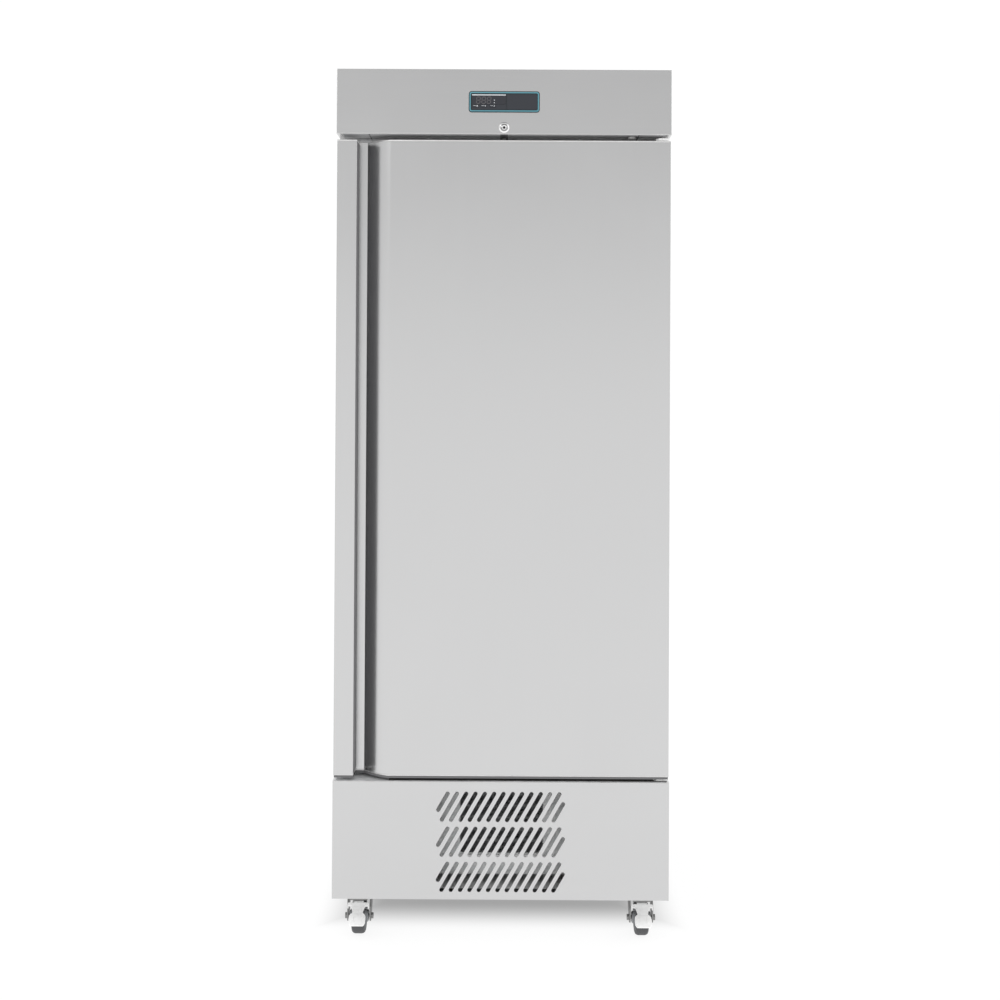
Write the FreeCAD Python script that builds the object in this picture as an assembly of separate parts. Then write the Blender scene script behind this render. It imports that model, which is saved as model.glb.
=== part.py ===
import FreeCAD, Part
import math
import os

# Reach-in refrigerator with one solid door, a recessed full-height handle and a base condensing unit.
# Frame: origin on the floor under the middle, +Z up, front towards -Y, +X to the right. Millimetres.

V = FreeCAD.Vector
X_AXIS, Y_AXIS, Z_AXIS = V(1, 0, 0), V(0, 1, 0), V(0, 0, 1)

# Cabinet
WIDTH = 730.0
HEIGHT = 1915.0
FRONT_Y = -412.5            # outer face of door, fascia and base panel
FRAME_Y = -347.5            # front face of the cabinet's front frame
BACK_Y = 410.0              # outer face of the back skin
REAR_Y = 412.5              # end of the inlet gland, the rearmost piece
SHEET = 1.0
FRONT_SHEET = 1.2
HALF = WIDTH / 2
WALL = 71.0                 # cabinet wall with its skins
INNER_X = HALF - WALL       # inside face of the liner
BASE_Z0, BASE_Z1 = 112.0, 367.0
DOOR_Z0, DOOR_Z1 = 379.0, 1760.0
FASCIA_Z0 = 1773.0
FLOOR_Z, CEILING_Z = 432.0, 1702.0
INNER_BACK_Y = 339.0

# Door
DOOR_HALF = 363.5
DOOR_BACK_Y = -356.5
HANDLE_WALL_X = -320.5      # end of the grip strip
HANDLE_FLOOR_X = -300.5     # end of the recess floor
HANDLE_RAMP_X = -247.5      # end of the ramp
HANDLE_DEPTH = 40.0
RAMP_MID_DEPTH = 15.0       # depth halfway along the ramp, which is steeper at its foot
GASKET_HALF, GASKET_W = 338.0, 28.0
GASKET_Z0, GASKET_Z1 = 392.0, 1747.0
FIT_GAP = 0.3               # clear gap between different bodies
PLUG_X, PLUG_Z0, PLUG_Z1, PLUG_Y = 280.0, 446.0, 1688.0, -344.0

# Hinge
PIVOT_X, PIVOT_Y = 346.5, -385.0
PIN_R, BUSH_GAP, BUSH_R = 4.0, 0.05, 8.0
BUSH_LEN, PIN_IN = 19.0, 16.0
TOP_PLATE_Z, HINGE_PLATE, LOW_PLATE = 1762.5, 5.0, 8.0
DOOR_PLATE, STOP_DROP = 3.0, 4.0
STOP_X, STOP_W, STOP_TAPER = 303.0, 21.0, 4.0
DOOR_PLATE_X1, DOOR_PLATE_Y0, DOOR_PLATE_Y1 = 358.0, -403.0, -368.0
BRACKET_X0, BRACKET_X1, BRACKET_END_Y, BRACKET_CUT = 332.0, 362.0, -403.0, 6.0
SPARE_PIN_X, SEAM = -281.0, 0.8

# Controller and lock
PANEL_Z = 1843.6
BEZEL_W, BEZEL_H, BEZEL_PROUD = 154.7, 46.0, 2.5
BEZEL_OPEN_W, BEZEL_OPEN_H, BEZEL_OPEN_X = 145.2, 34.6, 0.2
MODULE_X, MODULE_W, MODULE_H = -33.4, 76.0, 34.0
MODULE_STEP, MODULE_DEEP, MODULE_PROUD = 5.0, 58.0, 1.2
WINDOW_W, WINDOW_H, WINDOW_UP, WINDOW_THICK = 73.0, 21.0, 4.6, 0.7
BADGE_X, BADGE_W = 38.9, 66.6
KEY_XS = {"key_power": -62.0, "key_down": -44.6, "key_up": -25.0}
KEY_Z, KEY_W, KEY_H = 1834.4, 12.0, 6.0
KEY_PROUD, KEY_THICK, KEY_STROKE, WELL_SPARE = 1.9, 2.3, 0.8, 0.4
LOCK_Z, LOCK_R, LOCK_CORE_R, LOCK_FLANGE_R = 1787.7, 9.5, 6.0, 11.5
LOCK_PROUD, BARREL_LEN, CORE_PROUD, CORE_LEN, CAM_THICK = 2.5, 20.0, 2.8, 23.5, 3.0
KEYWAY_W, KEYWAY_H, KEYWAY_DEEP = 1.6, 8.0, 8.0
BOLT_Y, BOLT_THICK, BOLT_W, BOLT_LEN, BOLT_REST = -384.0, 4.0, 14.0, 34.0, 1.5
BOLT_SLOT_GAP, BOLT_SOCKET_GAP, BOLT_SOCKET_DEEP = 0.6, 1.5, 18.0

# Shelves
SHELF_ZS = (700.0, 980.0, 1260.0)
SHELF_W, SHELF_D = 530.0, 650.0
RACK_X, RUNNER_LIP_X = 272.0, 248.0
UPRIGHT_YS = (-230.0, 230.0)
UPRIGHT_W, UPRIGHT_Z0, UPRIGHT_Z1, SLOT_PITCH, SLOT_HALF_W, SLOT_HALF_H = 24.0, 500.0, 1500.0, 40.0, 5.0, 4.0
RACK_SHEET, RUNNER_HALF, RUNNER_H = 1.5, 300.0, 28.0
RIM_R, BAR_R, WIRE_R, WIRE_COUNT, WIRE_UP, RIM_BEND = 4.0, 3.0, 2.2, 23, 3.6, 14.0
CROSS_BAR_YS, WIRE_INSET = (-190.0, 0.0, 190.0), 17.0

# Evaporator and condensing unit
EVAP_Z, EVAP_FAN_R, EVAP_FAN_Z = 1575.0, 52.0, 1638.0
EVAP_Y0, EVAP_X, EVAP_SHEET = 60.0, 262.0, 1.5
EVAP_COIL_X, EVAP_COIL_Y0, EVAP_COIL_Y1 = 215.0, 150.0, 310.0
EVAP_TUBE_YS, EVAP_TUBE_ZS = (175.0, 215.0, 255.0), (20, 62)
GRILLE_PITCH, GRILLE_HALF, GRILLE_GAP = 12.0, 1.5, 3.0
TUBE_R, BEND_R = 4.8, 8.0
DRAIN_X, DRAIN_Y, DRAIN_START_Y, DRAIN_UP, DRAIN_END_Z = -200.0, 375.0, 330.0, 12.0, 158.0
DRAIN_R, DRAIN_BORE_R, DRAIN_BEND = 8.0, 6.0, 20.0
PROBE_X, PROBE_R, PROBE_Z0, PROBE_Z1 = 200.0, 3.2, 1580.0, 1616.0
COND_FAN_R, COND_FAN_Z = 96.0, 240.0
SHROUD_Y = -327.5
COIL_TOP, COIL_X, COIL_DEEP, COIL_GAP = 346.0, 128.0, 54.0, 6.0
SHROUD_X, SHROUD_SHEET, SHROUD_TOP, SHROUD_DEEP = 300.0, 1.2, 352.0, 72.0
SHROUD_OPEN_X, SHROUD_OPEN_Z, SHROUD_OPEN_W, SHROUD_OPEN_H = 2.0, 268.0, 184.0, 166.0
TUNNEL_X, MEMBER_H, MEMBER_THICK = 160.0, 42.0, 6.0
COND_MOTOR_Y, COND_MOTOR_R, COND_MOTOR_LEN, COND_SHAFT = SHROUD_Y + 108, 36.0, 62.0, 22.0
LIQUID_X, LIQUID_Z, PIPE_R, PIPE_TOP = -110.0, 150.0, 4.0, 357.0
DRIER_X, DRIER_Y, DRIER_R, DRIER_LEN = -120.0, 60.0, 13.0, 120.0
INLET_X, INLET_Z, INLET_R, INLET_BORE_R, NUT_R, NUT_H = -250.0, 250.0, 8.0, 4.5, 11.0, 2.5
COMPRESSOR_X, COMPRESSOR_Y, SHELL_R, SHELL_H, SHELL_ROUND = 110.0, 130.0, 74.0, 140.0, 38.0
FOOT_X, FOOT_Y, FOOT_R, FOOT_H = 85.0, 55.0, 13.0, 16.0
PAN_X0, PAN_X1, PAN_Y0, PAN_Y1, PAN_H, PAN_WALL = -290.0, -70.0, 215.0, 398.0, 40.0, 3.0
TERMINAL_X0, TERMINAL_X1, TERMINAL_Y0, TERMINAL_Y1, TERMINAL_H = -330.0, -220.0, -120.0, 20.0, 90.0
TRAY, TRAY_LIP = 2.0, 18.0
GUARD_THICK, VENT_W, VENT_H, VENT_PITCH, VENT_XS, VENT_ROWS = 1.5, 140.0, 8.0, 20.0, (-180.0, 60.0), 9

# Louvres
LOUVRE_ROWS, LOUVRE_COUNT = 3, 14
LOUVRE_W, LOUVRE_H, LOUVRE_LEAN = 9.0, 65.4, 30.0
LOUVRE_PITCH, ROW_PITCH, ROW_TOP_Z = 20.2, 75.7, 345.4
SHORT_SHARE = 0.38          # part cut off each row's first and last slot

# Castors
CASTOR_X, CASTOR_Y = 315.0, 281.0
WHEEL_R, WHEEL_W, HUB_W, HUB_R = 37.5, 30.0, 42.0, 13.0
TREAD_ROUND = 7.5
TRAIL, FORK_OUT, FORK_T = 30.0, 26.5, 3.0
AXLE_R, AXLE_GAP = 4.0, 0.05
PLATE_X, PLATE_Y, PLATE_T, RACE_R, RACE_H, PLATE_BOLT_X, PLATE_BOLT_Y = 50.0, 38.0, 3.0, 27.0, 6.0, 37.0, 26.0
PEDAL_PIVOT_Y, PEDAL_PIVOT_Z, PEDAL_SHEET, PEDAL_PIN_R, PEDAL_PIN_HALF = 34.0, 85.0, 2.5, 3.5, 22.5
CASTORS = {"fl": (-1, -1), "fr": (1, -1), "rl": (-1, 1), "rr": (1, 1)}


def box(x0, x1, y0, y1, z0, z1):
    return Part.makeBox(x1 - x0, y1 - y0, z1 - z0, V(x0, y0, z0))


def rod(radius, start, end):
    run = V(*end) - V(*start)
    return Part.makeCylinder(radius, run.Length, V(*start), run)


def prism(points, start, run):
    """Extrude a polygon of 3-D points, moved to start, along run."""
    ring = [V(*p) + V(*start) for p in points]
    face = Part.Face(Part.makePolygon(ring + [ring[0]]))
    return face.extrude(V(*run))


def fuse(shapes):
    return shapes[0].multiFuse(shapes[1:]).removeSplitter()


def cut(shape, tools):
    return shape.cut(Part.makeCompound(tools))


def pipe(points, radius, bend):
    """A round pipe along straight runs joined by arcs of the given bend radius."""
    pts = [V(*p) for p in points]
    edges, last = [], pts[0]
    for before, corner, after in zip(pts, pts[1:], pts[2:]):
        a = (before - corner).normalize()
        b = (after - corner).normalize()
        half = a.getAngle(b) / 2
        reach = bend / math.tan(half)
        start, end = corner + a * reach, corner + b * reach
        to_mid = (a + b).normalize()
        mid = corner + to_mid * (bend / math.sin(half) - bend)
        edges += [Part.makeLine(last, start), Part.Arc(start, mid, end).toShape()]
        last = end
    edges.append(Part.makeLine(last, pts[-1]))
    spine = Part.Wire(edges)
    ring = Part.Wire(Part.makeCircle(radius, pts[0], pts[1] - pts[0]))
    return spine.makePipeShell([ring], True, True)


def mirrored(shape):
    return shape.mirror(V(0, 0, 0), X_AXIS)


def both_sides(shape):
    return [shape, mirrored(shape)]


def rounded_plate(x, z, w, h, radius, y0, y1):
    plate = box(x - w / 2, x + w / 2, y0, y1, z - h / 2, z + h / 2)
    corners = [e for e in plate.Edges if abs(e.tangentAt(e.FirstParameter).y) > 0.99]
    return plate.makeFillet(radius, corners)


def hex_head(radius, centre, direction, height):
    """A hexagonal head standing on a face along direction."""
    axis = V(*direction)
    side = V(0, 0, 1) if abs(axis.z) < 0.5 else V(1, 0, 0)
    other = axis.cross(side)
    ring = []
    for i in range(6):
        angle = i * math.pi / 3
        ring.append(V(*centre) + side * (radius * math.cos(angle)) + other * (radius * math.sin(angle)))
    return Part.Face(Part.makePolygon(ring + [ring[0]])).extrude(axis * height)


# ---------------------------------------------------------------- cabinet shell

def side_skins():
    return both_sides(box(HALF - SHEET, HALF, FRAME_Y, BACK_Y, BASE_Z1, HEIGHT))


def top_skin():
    x = HALF - SHEET
    return [box(-x, x, FRAME_Y, BACK_Y - SHEET, HEIGHT - SHEET, HEIGHT)]


def back_skin():
    x = HALF - SHEET
    return [box(-x, x, BACK_Y - SHEET, BACK_Y, BASE_Z1, HEIGHT)]


def front_frame():
    back = FRAME_Y + FRONT_SHEET
    x = HALF - SHEET
    stile = box(INNER_X, x, FRAME_Y, back, BASE_Z1, HEIGHT - SHEET)
    header = box(-INNER_X, INNER_X, FRAME_Y, back, CEILING_Z, HEIGHT - SHEET)
    sill = box(-INNER_X, INNER_X, FRAME_Y, back, BASE_Z1, FLOOR_Z)
    return both_sides(stile) + [header, sill]


def liner_shell():
    y0 = FRAME_Y + FRONT_SHEET
    outer = box(-INNER_X - SHEET, INNER_X + SHEET, y0, INNER_BACK_Y + SHEET,
                FLOOR_Z - SHEET, CEILING_Z + SHEET)
    inner = box(-INNER_X, INNER_X, y0 - 1, INNER_BACK_Y, FLOOR_Z, CEILING_Z)
    return outer.cut(inner)


def drain_route(radius=DRAIN_R):
    z = EVAP_Z + DRAIN_UP
    route = [(DRAIN_X, DRAIN_START_Y, z), (DRAIN_X, DRAIN_Y, z), (DRAIN_X, DRAIN_Y, DRAIN_END_Z)]
    return pipe(route, radius, DRAIN_BEND)


def inner_liner():
    return [liner_shell().cut(drain_route())]


def wall_insulation():
    y0 = FRAME_Y + FRONT_SHEET
    inner_x, outer_x = INNER_X + SHEET, HALF - SHEET
    roof = FASCIA_Z0
    side = box(inner_x, outer_x, y0, BACK_Y - SHEET, BASE_Z1, roof)
    back = box(-inner_x, inner_x, INNER_BACK_Y + SHEET, BACK_Y - SHEET, BASE_Z1, roof)
    ceiling = box(-inner_x, inner_x, y0, INNER_BACK_Y + SHEET, CEILING_Z + SHEET, roof)
    floor = box(-inner_x, inner_x, y0, INNER_BACK_Y + SHEET, BASE_Z1, FLOOR_Z - SHEET)
    return both_sides(side) + [back.cut(drain_route()), ceiling, floor]


# ---------------------------------------------------------------- fascia, controller, lock

def front_pan(z0, z1):
    """A sheet pan, open at the back, that stands out from the front frame."""
    outer = box(-HALF, HALF, FRONT_Y, FRAME_Y, z0, z1)
    edges = [e for e in outer.Edges
             if abs(e.BoundBox.YMax - FRONT_Y) < 0.01 and abs(e.BoundBox.YMin - FRONT_Y) < 0.01]
    outer = outer.makeFillet(FRONT_SHEET, edges)
    t = FRONT_SHEET
    inner = box(-HALF + t, HALF - t, FRONT_Y + t, FRAME_Y + 1, z0 + t, z1 - t)
    return outer.cut(inner)


def fascia_panel():
    window = rounded_plate(MODULE_X, PANEL_Z, MODULE_W - MODULE_STEP, MODULE_H - MODULE_STEP, 2.0,
                           FRONT_Y - 5, FRONT_Y + 5)
    lock_hole = rod(LOCK_R, (0, FRONT_Y - 5, LOCK_Z), (0, FRONT_Y + 5, LOCK_Z))
    gap = BOLT_SLOT_GAP
    slot = box(-BOLT_W / 2 - gap, BOLT_W / 2 + gap, BOLT_Y - gap, BOLT_Y + BOLT_THICK + gap,
               FASCIA_Z0 - 1, FASCIA_Z0 + 5)
    spare = rod(PIN_R + 0.5, (SPARE_PIN_X, PIVOT_Y, FASCIA_Z0 - 1), (SPARE_PIN_X, PIVOT_Y, FASCIA_Z0 + 5))
    seam = box(-INNER_X - SEAM / 2, -INNER_X + SEAM / 2, FRONT_Y + 4, FRAME_Y + 1,
               FASCIA_Z0 - 1, FASCIA_Z0 + 5)
    seams = both_sides(seam)
    return [cut(front_pan(FASCIA_Z0, HEIGHT), [window, lock_hole, slot, spare] + seams)]


def controller_bezel():
    y0 = FRONT_Y - BEZEL_PROUD
    outer = rounded_plate(0, PANEL_Z, BEZEL_W, BEZEL_H, 9.0, y0, FRONT_Y)
    inner = rounded_plate(BEZEL_OPEN_X, PANEL_Z, BEZEL_OPEN_W, BEZEL_OPEN_H, 3.0, y0 - 1, FRONT_Y + 1)
    return [outer.cut(inner)]


def controller_module():
    face = rounded_plate(MODULE_X, PANEL_Z, MODULE_W, MODULE_H, 2.0, FRONT_Y - MODULE_PROUD, FRONT_Y)
    body = rounded_plate(MODULE_X, PANEL_Z, MODULE_W - MODULE_STEP, MODULE_H - MODULE_STEP, 2.0,
                         FRONT_Y, FRONT_Y + MODULE_DEEP)
    solid = face.fuse(body)
    floor_y = FRONT_Y - KEY_PROUD + KEY_THICK + KEY_STROKE + WELL_SPARE
    wells = []
    for x in KEY_XS.values():
        wells.append(box(x - KEY_W / 2 - FIT_GAP, x + KEY_W / 2 + FIT_GAP, FRONT_Y - 5, floor_y,
                         KEY_Z - KEY_H / 2 - FIT_GAP, KEY_Z + KEY_H / 2 + FIT_GAP))
    return [cut(solid, wells)]


def display_window():
    back = FRONT_Y - MODULE_PROUD
    return [rounded_plate(MODULE_X, PANEL_Z + WINDOW_UP, WINDOW_W, WINDOW_H, 1.5, back - WINDOW_THICK, back)]


def badge_plate():
    return [rounded_plate(BADGE_X, PANEL_Z, BADGE_W, MODULE_H, 1.5, FRONT_Y - 1.4, FRONT_Y)]


def controller_key(x):
    y0 = FRONT_Y - KEY_PROUD
    return [rounded_plate(x, KEY_Z, KEY_W, KEY_H, 1.2, y0, y0 + KEY_THICK)]


def lock_barrel():
    flange = rod(LOCK_FLANGE_R, (0, FRONT_Y - LOCK_PROUD, LOCK_Z), (0, FRONT_Y, LOCK_Z))
    rim = [e for e in flange.Edges if e.BoundBox.YMax < FRONT_Y - LOCK_PROUD / 2]
    flange = flange.makeFillet(1.2, rim[:1])
    body = rod(LOCK_R, (0, FRONT_Y, LOCK_Z), (0, FRONT_Y + BARREL_LEN, LOCK_Z))
    bore = rod(LOCK_CORE_R + BUSH_GAP, (0, FRONT_Y - 5, LOCK_Z), (0, FRONT_Y + 25, LOCK_Z))
    return [flange.fuse(body).cut(bore)]


def lock_cylinder():
    core = rod(LOCK_CORE_R, (0, FRONT_Y - CORE_PROUD, LOCK_Z), (0, FRONT_Y + CORE_LEN, LOCK_Z))
    keyway = box(-KEYWAY_W / 2, KEYWAY_W / 2, FRONT_Y - 4, FRONT_Y + KEYWAY_DEEP,
                 LOCK_Z - KEYWAY_H / 2, LOCK_Z + KEYWAY_H / 2)
    cam = box(-4, 4, FRONT_Y + CORE_LEN - CAM_THICK, FRONT_Y + CORE_LEN, LOCK_Z - 5, LOCK_Z + 14)
    return [core.cut(keyway).fuse(cam)]


def lock_bolt():
    low = FASCIA_Z0 + BOLT_REST
    return [box(-BOLT_W / 2, BOLT_W / 2, BOLT_Y, BOLT_Y + BOLT_THICK, low, low + BOLT_LEN)]


# ---------------------------------------------------------------- door

def door_foam_blocks():
    y0, y1 = FRONT_Y + SHEET, DOOR_BACK_Y - SHEET
    z0, z1 = DOOR_Z0 + SHEET, DOOR_Z1 - SHEET
    floor_y = FRONT_Y + HANDLE_DEPTH + SHEET
    strip = box(-DOOR_HALF + SHEET, HANDLE_WALL_X - SHEET, y0, y1, z0, z1)
    floor = box(HANDLE_WALL_X - SHEET, HANDLE_FLOOR_X + 0.5, floor_y, y1, z0, z1)
    foot, top = V(HANDLE_FLOOR_X + 0.5, floor_y, z0), V(HANDLE_RAMP_X, y0, z0)
    middle = V((HANDLE_FLOOR_X + HANDLE_RAMP_X) / 2 + 0.8, FRONT_Y + RAMP_MID_DEPTH + 0.8, z0)
    outline = [Part.makeLine(V(top.x, y1, z0), V(foot.x, y1, z0)), Part.makeLine(V(foot.x, y1, z0), foot),
               Part.Arc(foot, middle, top).toShape(), Part.makeLine(top, V(top.x, y1, z0))]
    ramp = Part.Face(Part.Wire(outline)).extrude(V(0, 0, z1 - z0))
    main = box(HANDLE_RAMP_X, DOOR_HALF - SHEET, y0, y1, z0, z1)
    return [strip, floor, ramp, main]


def door_holes():
    gap = BOLT_SOCKET_GAP
    bolt = box(-BOLT_W / 2 - gap, BOLT_W / 2 + gap, BOLT_Y - gap, BOLT_Y + BOLT_THICK + gap,
               DOOR_Z1 - BOLT_SOCKET_DEEP, DOOR_Z1 + 1)
    top = rod(BUSH_R, (PIVOT_X, PIVOT_Y, DOOR_Z1 - BUSH_LEN), (PIVOT_X, PIVOT_Y, DOOR_Z1 + 1))
    low = rod(BUSH_R, (PIVOT_X, PIVOT_Y, DOOR_Z0 - 1), (PIVOT_X, PIVOT_Y, DOOR_Z0 + BUSH_LEN))
    return [bolt, top, low]


def door_insulation():
    blocks = door_foam_blocks()
    blocks[3] = cut(blocks[3], door_holes())
    plug = box(-PLUG_X + SHEET, PLUG_X - SHEET, DOOR_BACK_Y - SHEET, PLUG_Y - SHEET,
               PLUG_Z0 + SHEET, PLUG_Z1 - SHEET)
    return blocks + [plug]


def door_outer_skin():
    y1 = DOOR_BACK_Y - SHEET
    a, b = V(-DOOR_HALF, FRONT_Y, DOOR_Z0), V(HANDLE_WALL_X, FRONT_Y, DOOR_Z0)
    c, d = b + V(0, HANDLE_DEPTH, 0), V(HANDLE_FLOOR_X, FRONT_Y + HANDLE_DEPTH, DOOR_Z0)
    e, f = V(HANDLE_RAMP_X, FRONT_Y, DOOR_Z0), V(DOOR_HALF, FRONT_Y, DOOR_Z0)
    g, h = V(DOOR_HALF, y1, DOOR_Z0), V(-DOOR_HALF, y1, DOOR_Z0)
    middle = V((HANDLE_FLOOR_X + HANDLE_RAMP_X) / 2, FRONT_Y + RAMP_MID_DEPTH, DOOR_Z0)
    outline = [Part.makeLine(a, b), Part.makeLine(b, c), Part.makeLine(c, d),
               Part.Arc(d, middle, e).toShape(), Part.makeLine(e, f), Part.makeLine(f, g),
               Part.makeLine(g, h), Part.makeLine(h, a)]
    whole = Part.Face(Part.Wire(outline)).extrude(V(0, 0, DOOR_Z1 - DOOR_Z0))
    corners = [edge for edge in whole.Edges
               if abs(edge.tangentAt(edge.FirstParameter).z) > 0.99
               and abs(edge.BoundBox.YMin - FRONT_Y) < 0.01 and abs(edge.BoundBox.XMin - HANDLE_RAMP_X) > 1]
    whole = whole.makeFillet(SHEET, corners)
    return [cut(whole, door_foam_blocks() + door_holes())]


def door_inner_skin():
    y0 = DOOR_BACK_Y - SHEET
    plate = box(-DOOR_HALF, DOOR_HALF, y0, DOOR_BACK_Y, DOOR_Z0, DOOR_Z1)
    plug = box(-PLUG_X, PLUG_X, DOOR_BACK_Y, PLUG_Y, PLUG_Z0, PLUG_Z1)
    foam = box(-PLUG_X + SHEET, PLUG_X - SHEET, y0 - 1, PLUG_Y - SHEET, PLUG_Z0 + SHEET, PLUG_Z1 - SHEET)
    return [plate.fuse(plug).cut(foam)]


def door_gasket():
    y1 = FRAME_Y - FIT_GAP
    x0 = GASKET_HALF - GASKET_W
    upright = box(x0, GASKET_HALF, DOOR_BACK_Y, y1, GASKET_Z0, GASKET_Z1)
    low = box(-x0, x0, DOOR_BACK_Y, y1, GASKET_Z0, GASKET_Z0 + GASKET_W)
    top = box(-x0, x0, DOOR_BACK_Y, y1, GASKET_Z1 - GASKET_W, GASKET_Z1)
    return both_sides(upright) + [low, top]


def hinge_bushes():
    """The door's two bushes, the lower one on a plate under the door with a stop at its inner end."""
    z = DOOR_Z0
    low = rod(BUSH_R, (PIVOT_X, PIVOT_Y, z), (PIVOT_X, PIVOT_Y, z + BUSH_LEN))
    plate = box(STOP_X, DOOR_PLATE_X1, DOOR_PLATE_Y0, DOOR_PLATE_Y1, z - DOOR_PLATE, z)
    lip, y = z - DOOR_PLATE, DOOR_PLATE_Y0 - 1
    x0, x1, foot = STOP_X, STOP_X + STOP_W, lip - STOP_DROP
    stop = prism([(x0, y, lip), (x1, y, lip), (x1 - STOP_TAPER, y, foot), (x0 + STOP_TAPER + 1, y, foot)],
                 (0, 0, 0), (0, 18, 0))
    top = rod(BUSH_R, (PIVOT_X, PIVOT_Y, DOOR_Z1 - BUSH_LEN), (PIVOT_X, PIVOT_Y, DOOR_Z1))
    bore = rod(PIN_R + BUSH_GAP, (PIVOT_X, PIVOT_Y, z - 20), (PIVOT_X, PIVOT_Y, DOOR_Z1 + 5))
    return [fuse([low, plate, stop]).cut(bore), top.cut(bore)]


def hinge_plate(z0, z1):
    """A bracket fixed to the front frame that carries one pin."""
    x0, x1, end, side = BRACKET_X0, BRACKET_X1, BRACKET_END_Y, BRACKET_CUT
    points = [(x1, FRAME_Y, z0), (x1, end + side, z0), (x1 - side, end, z0), (x0 + side, end, z0),
              (x0, end + side + 2, z0), (x0, FRAME_Y, z0)]
    plate = prism(points, (0, 0, 0), (0, 0, z1 - z0))
    return plate.cut(rod(PIN_R, (PIVOT_X, PIVOT_Y, z0 - 1), (PIVOT_X, PIVOT_Y, z1 + 1)))


def hinge_brackets():
    return [hinge_plate(TOP_PLATE_Z, TOP_PLATE_Z + HINGE_PLATE), hinge_plate(BASE_Z1, BASE_Z1 + LOW_PLATE)]


def hinge_pins():
    top = rod(PIN_R, (PIVOT_X, PIVOT_Y, DOOR_Z1 - PIN_IN), (PIVOT_X, PIVOT_Y, TOP_PLATE_Z + HINGE_PLATE))
    low = rod(PIN_R, (PIVOT_X, PIVOT_Y, BASE_Z1), (PIVOT_X, PIVOT_Y, DOOR_Z0 + PIN_IN))
    return [top, low]


# ---------------------------------------------------------------- inside the cabinet

def racking_uprights():
    width, t, z0, z1, pitch = UPRIGHT_W, RACK_SHEET, UPRIGHT_Z0, UPRIGHT_Z1, SLOT_PITCH
    solids = []
    for y in UPRIGHT_YS:
        post = box(RACK_X, INNER_X, y - width / 2, y + width / 2, z0, z1)
        post = post.cut(box(RACK_X + t, INNER_X + 1, y - width / 2 + t, y + width / 2 - t, z0 - 1, z1 + 1))
        slots = []
        for i in range(int((z1 - z0) / pitch)):
            z = z0 + pitch * (i + 0.5)
            slots.append(box(RACK_X - 1, RACK_X + t + 1, y - SLOT_HALF_W, y + SLOT_HALF_W,
                             z - SLOT_HALF_H, z + SLOT_HALF_H))
        solids += both_sides(cut(post, slots))
    return solids


def shelf_runners():
    t, half = RACK_SHEET, RUNNER_HALF
    solids = []
    for z in SHELF_ZS:
        web = box(RACK_X - t, RACK_X, -half, half, z - t, z + RUNNER_H)
        lip = box(RUNNER_LIP_X, RACK_X, -half, half, z - t, z)
        solids += both_sides(web.fuse(lip).removeSplitter())
    return solids


def wire_shelf(z):
    """A welded wire shelf lying on its runners."""
    rim, count = RIM_R, WIRE_COUNT
    hx, hy = SHELF_W / 2 - rim, SHELF_D / 2 - rim
    zc = z + rim
    frame = pipe([(0, -hy, zc), (hx, -hy, zc), (hx, hy, zc), (-hx, hy, zc), (-hx, -hy, zc),
                  (-1, -hy, zc)], rim, RIM_BEND)
    bars = [frame, rod(rim, (-1.5, -hy, zc), (0.5, -hy, zc))]
    for y in CROSS_BAR_YS:
        bars.append(rod(BAR_R, (-hx, y, zc), (hx, y, zc)))
    for i in range(count):
        x = (i - (count - 1) / 2) * 2 * (hx - WIRE_INSET) / (count - 1)
        bars.append(rod(WIRE_R, (x, -hy, zc + WIRE_UP), (x, hy, zc + WIRE_UP)))
    return fuse(bars)


def wire_shelves():
    first = wire_shelf(SHELF_ZS[0])
    return [first.translated(V(0, 0, z - SHELF_ZS[0])) for z in SHELF_ZS]


def evaporator_housing():
    t, x, y1 = EVAP_SHEET, EVAP_X, INNER_BACK_Y
    bottom = box(-x, x, EVAP_Y0, y1, EVAP_Z, EVAP_Z + t)
    side = box(x - t, x, EVAP_Y0, y1, EVAP_Z + t, CEILING_Z)
    front = box(-x + t, x - t, EVAP_Y0, EVAP_Y0 + t, EVAP_Z + t, CEILING_Z)
    ring = rod(EVAP_FAN_R + GRILLE_GAP, (0, EVAP_Y0 - 5, EVAP_FAN_Z), (0, EVAP_Y0 + 5, EVAP_FAN_Z))
    slats = []
    for i in range(-5, 6):
        z = EVAP_FAN_Z + GRILLE_PITCH * i
        slats.append(box(-x, x, EVAP_Y0 - 6, EVAP_Y0 + 6, z - GRILLE_HALF, z + GRILLE_HALF))
    return both_sides(side) + [bottom.cut(drain_route()), front.cut(cut(ring, slats))]


def evaporator_coil():
    z0, z1, y0, y1, x = EVAP_Z + 22, CEILING_Z - 8, EVAP_COIL_Y0, EVAP_COIL_Y1, EVAP_COIL_X
    solids = [box(-x, x, y0, y1, z0, z1)]
    for y in EVAP_TUBE_YS:
        for z in [z0 + up for up in EVAP_TUBE_ZS]:
            bend = pipe([(x, y, z), (x + 18, y, z), (x + 18, y + 22, z), (x, y + 22, z)], TUBE_R, BEND_R)
            solids += both_sides(bend)
    return solids


def evaporator_fan_motor():
    y0 = EVAP_Y0 + 24
    body = rod(22, (0, y0, EVAP_FAN_Z), (0, y0 + 42, EVAP_FAN_Z))
    shaft = rod(3, (0, EVAP_Y0 + 8, EVAP_FAN_Z), (0, y0, EVAP_FAN_Z))
    foot = box(-12, 12, y0 + 6, y0 + 30, EVAP_Z + 1.5, EVAP_FAN_Z)
    return [fuse([body, shaft, foot])]


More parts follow.
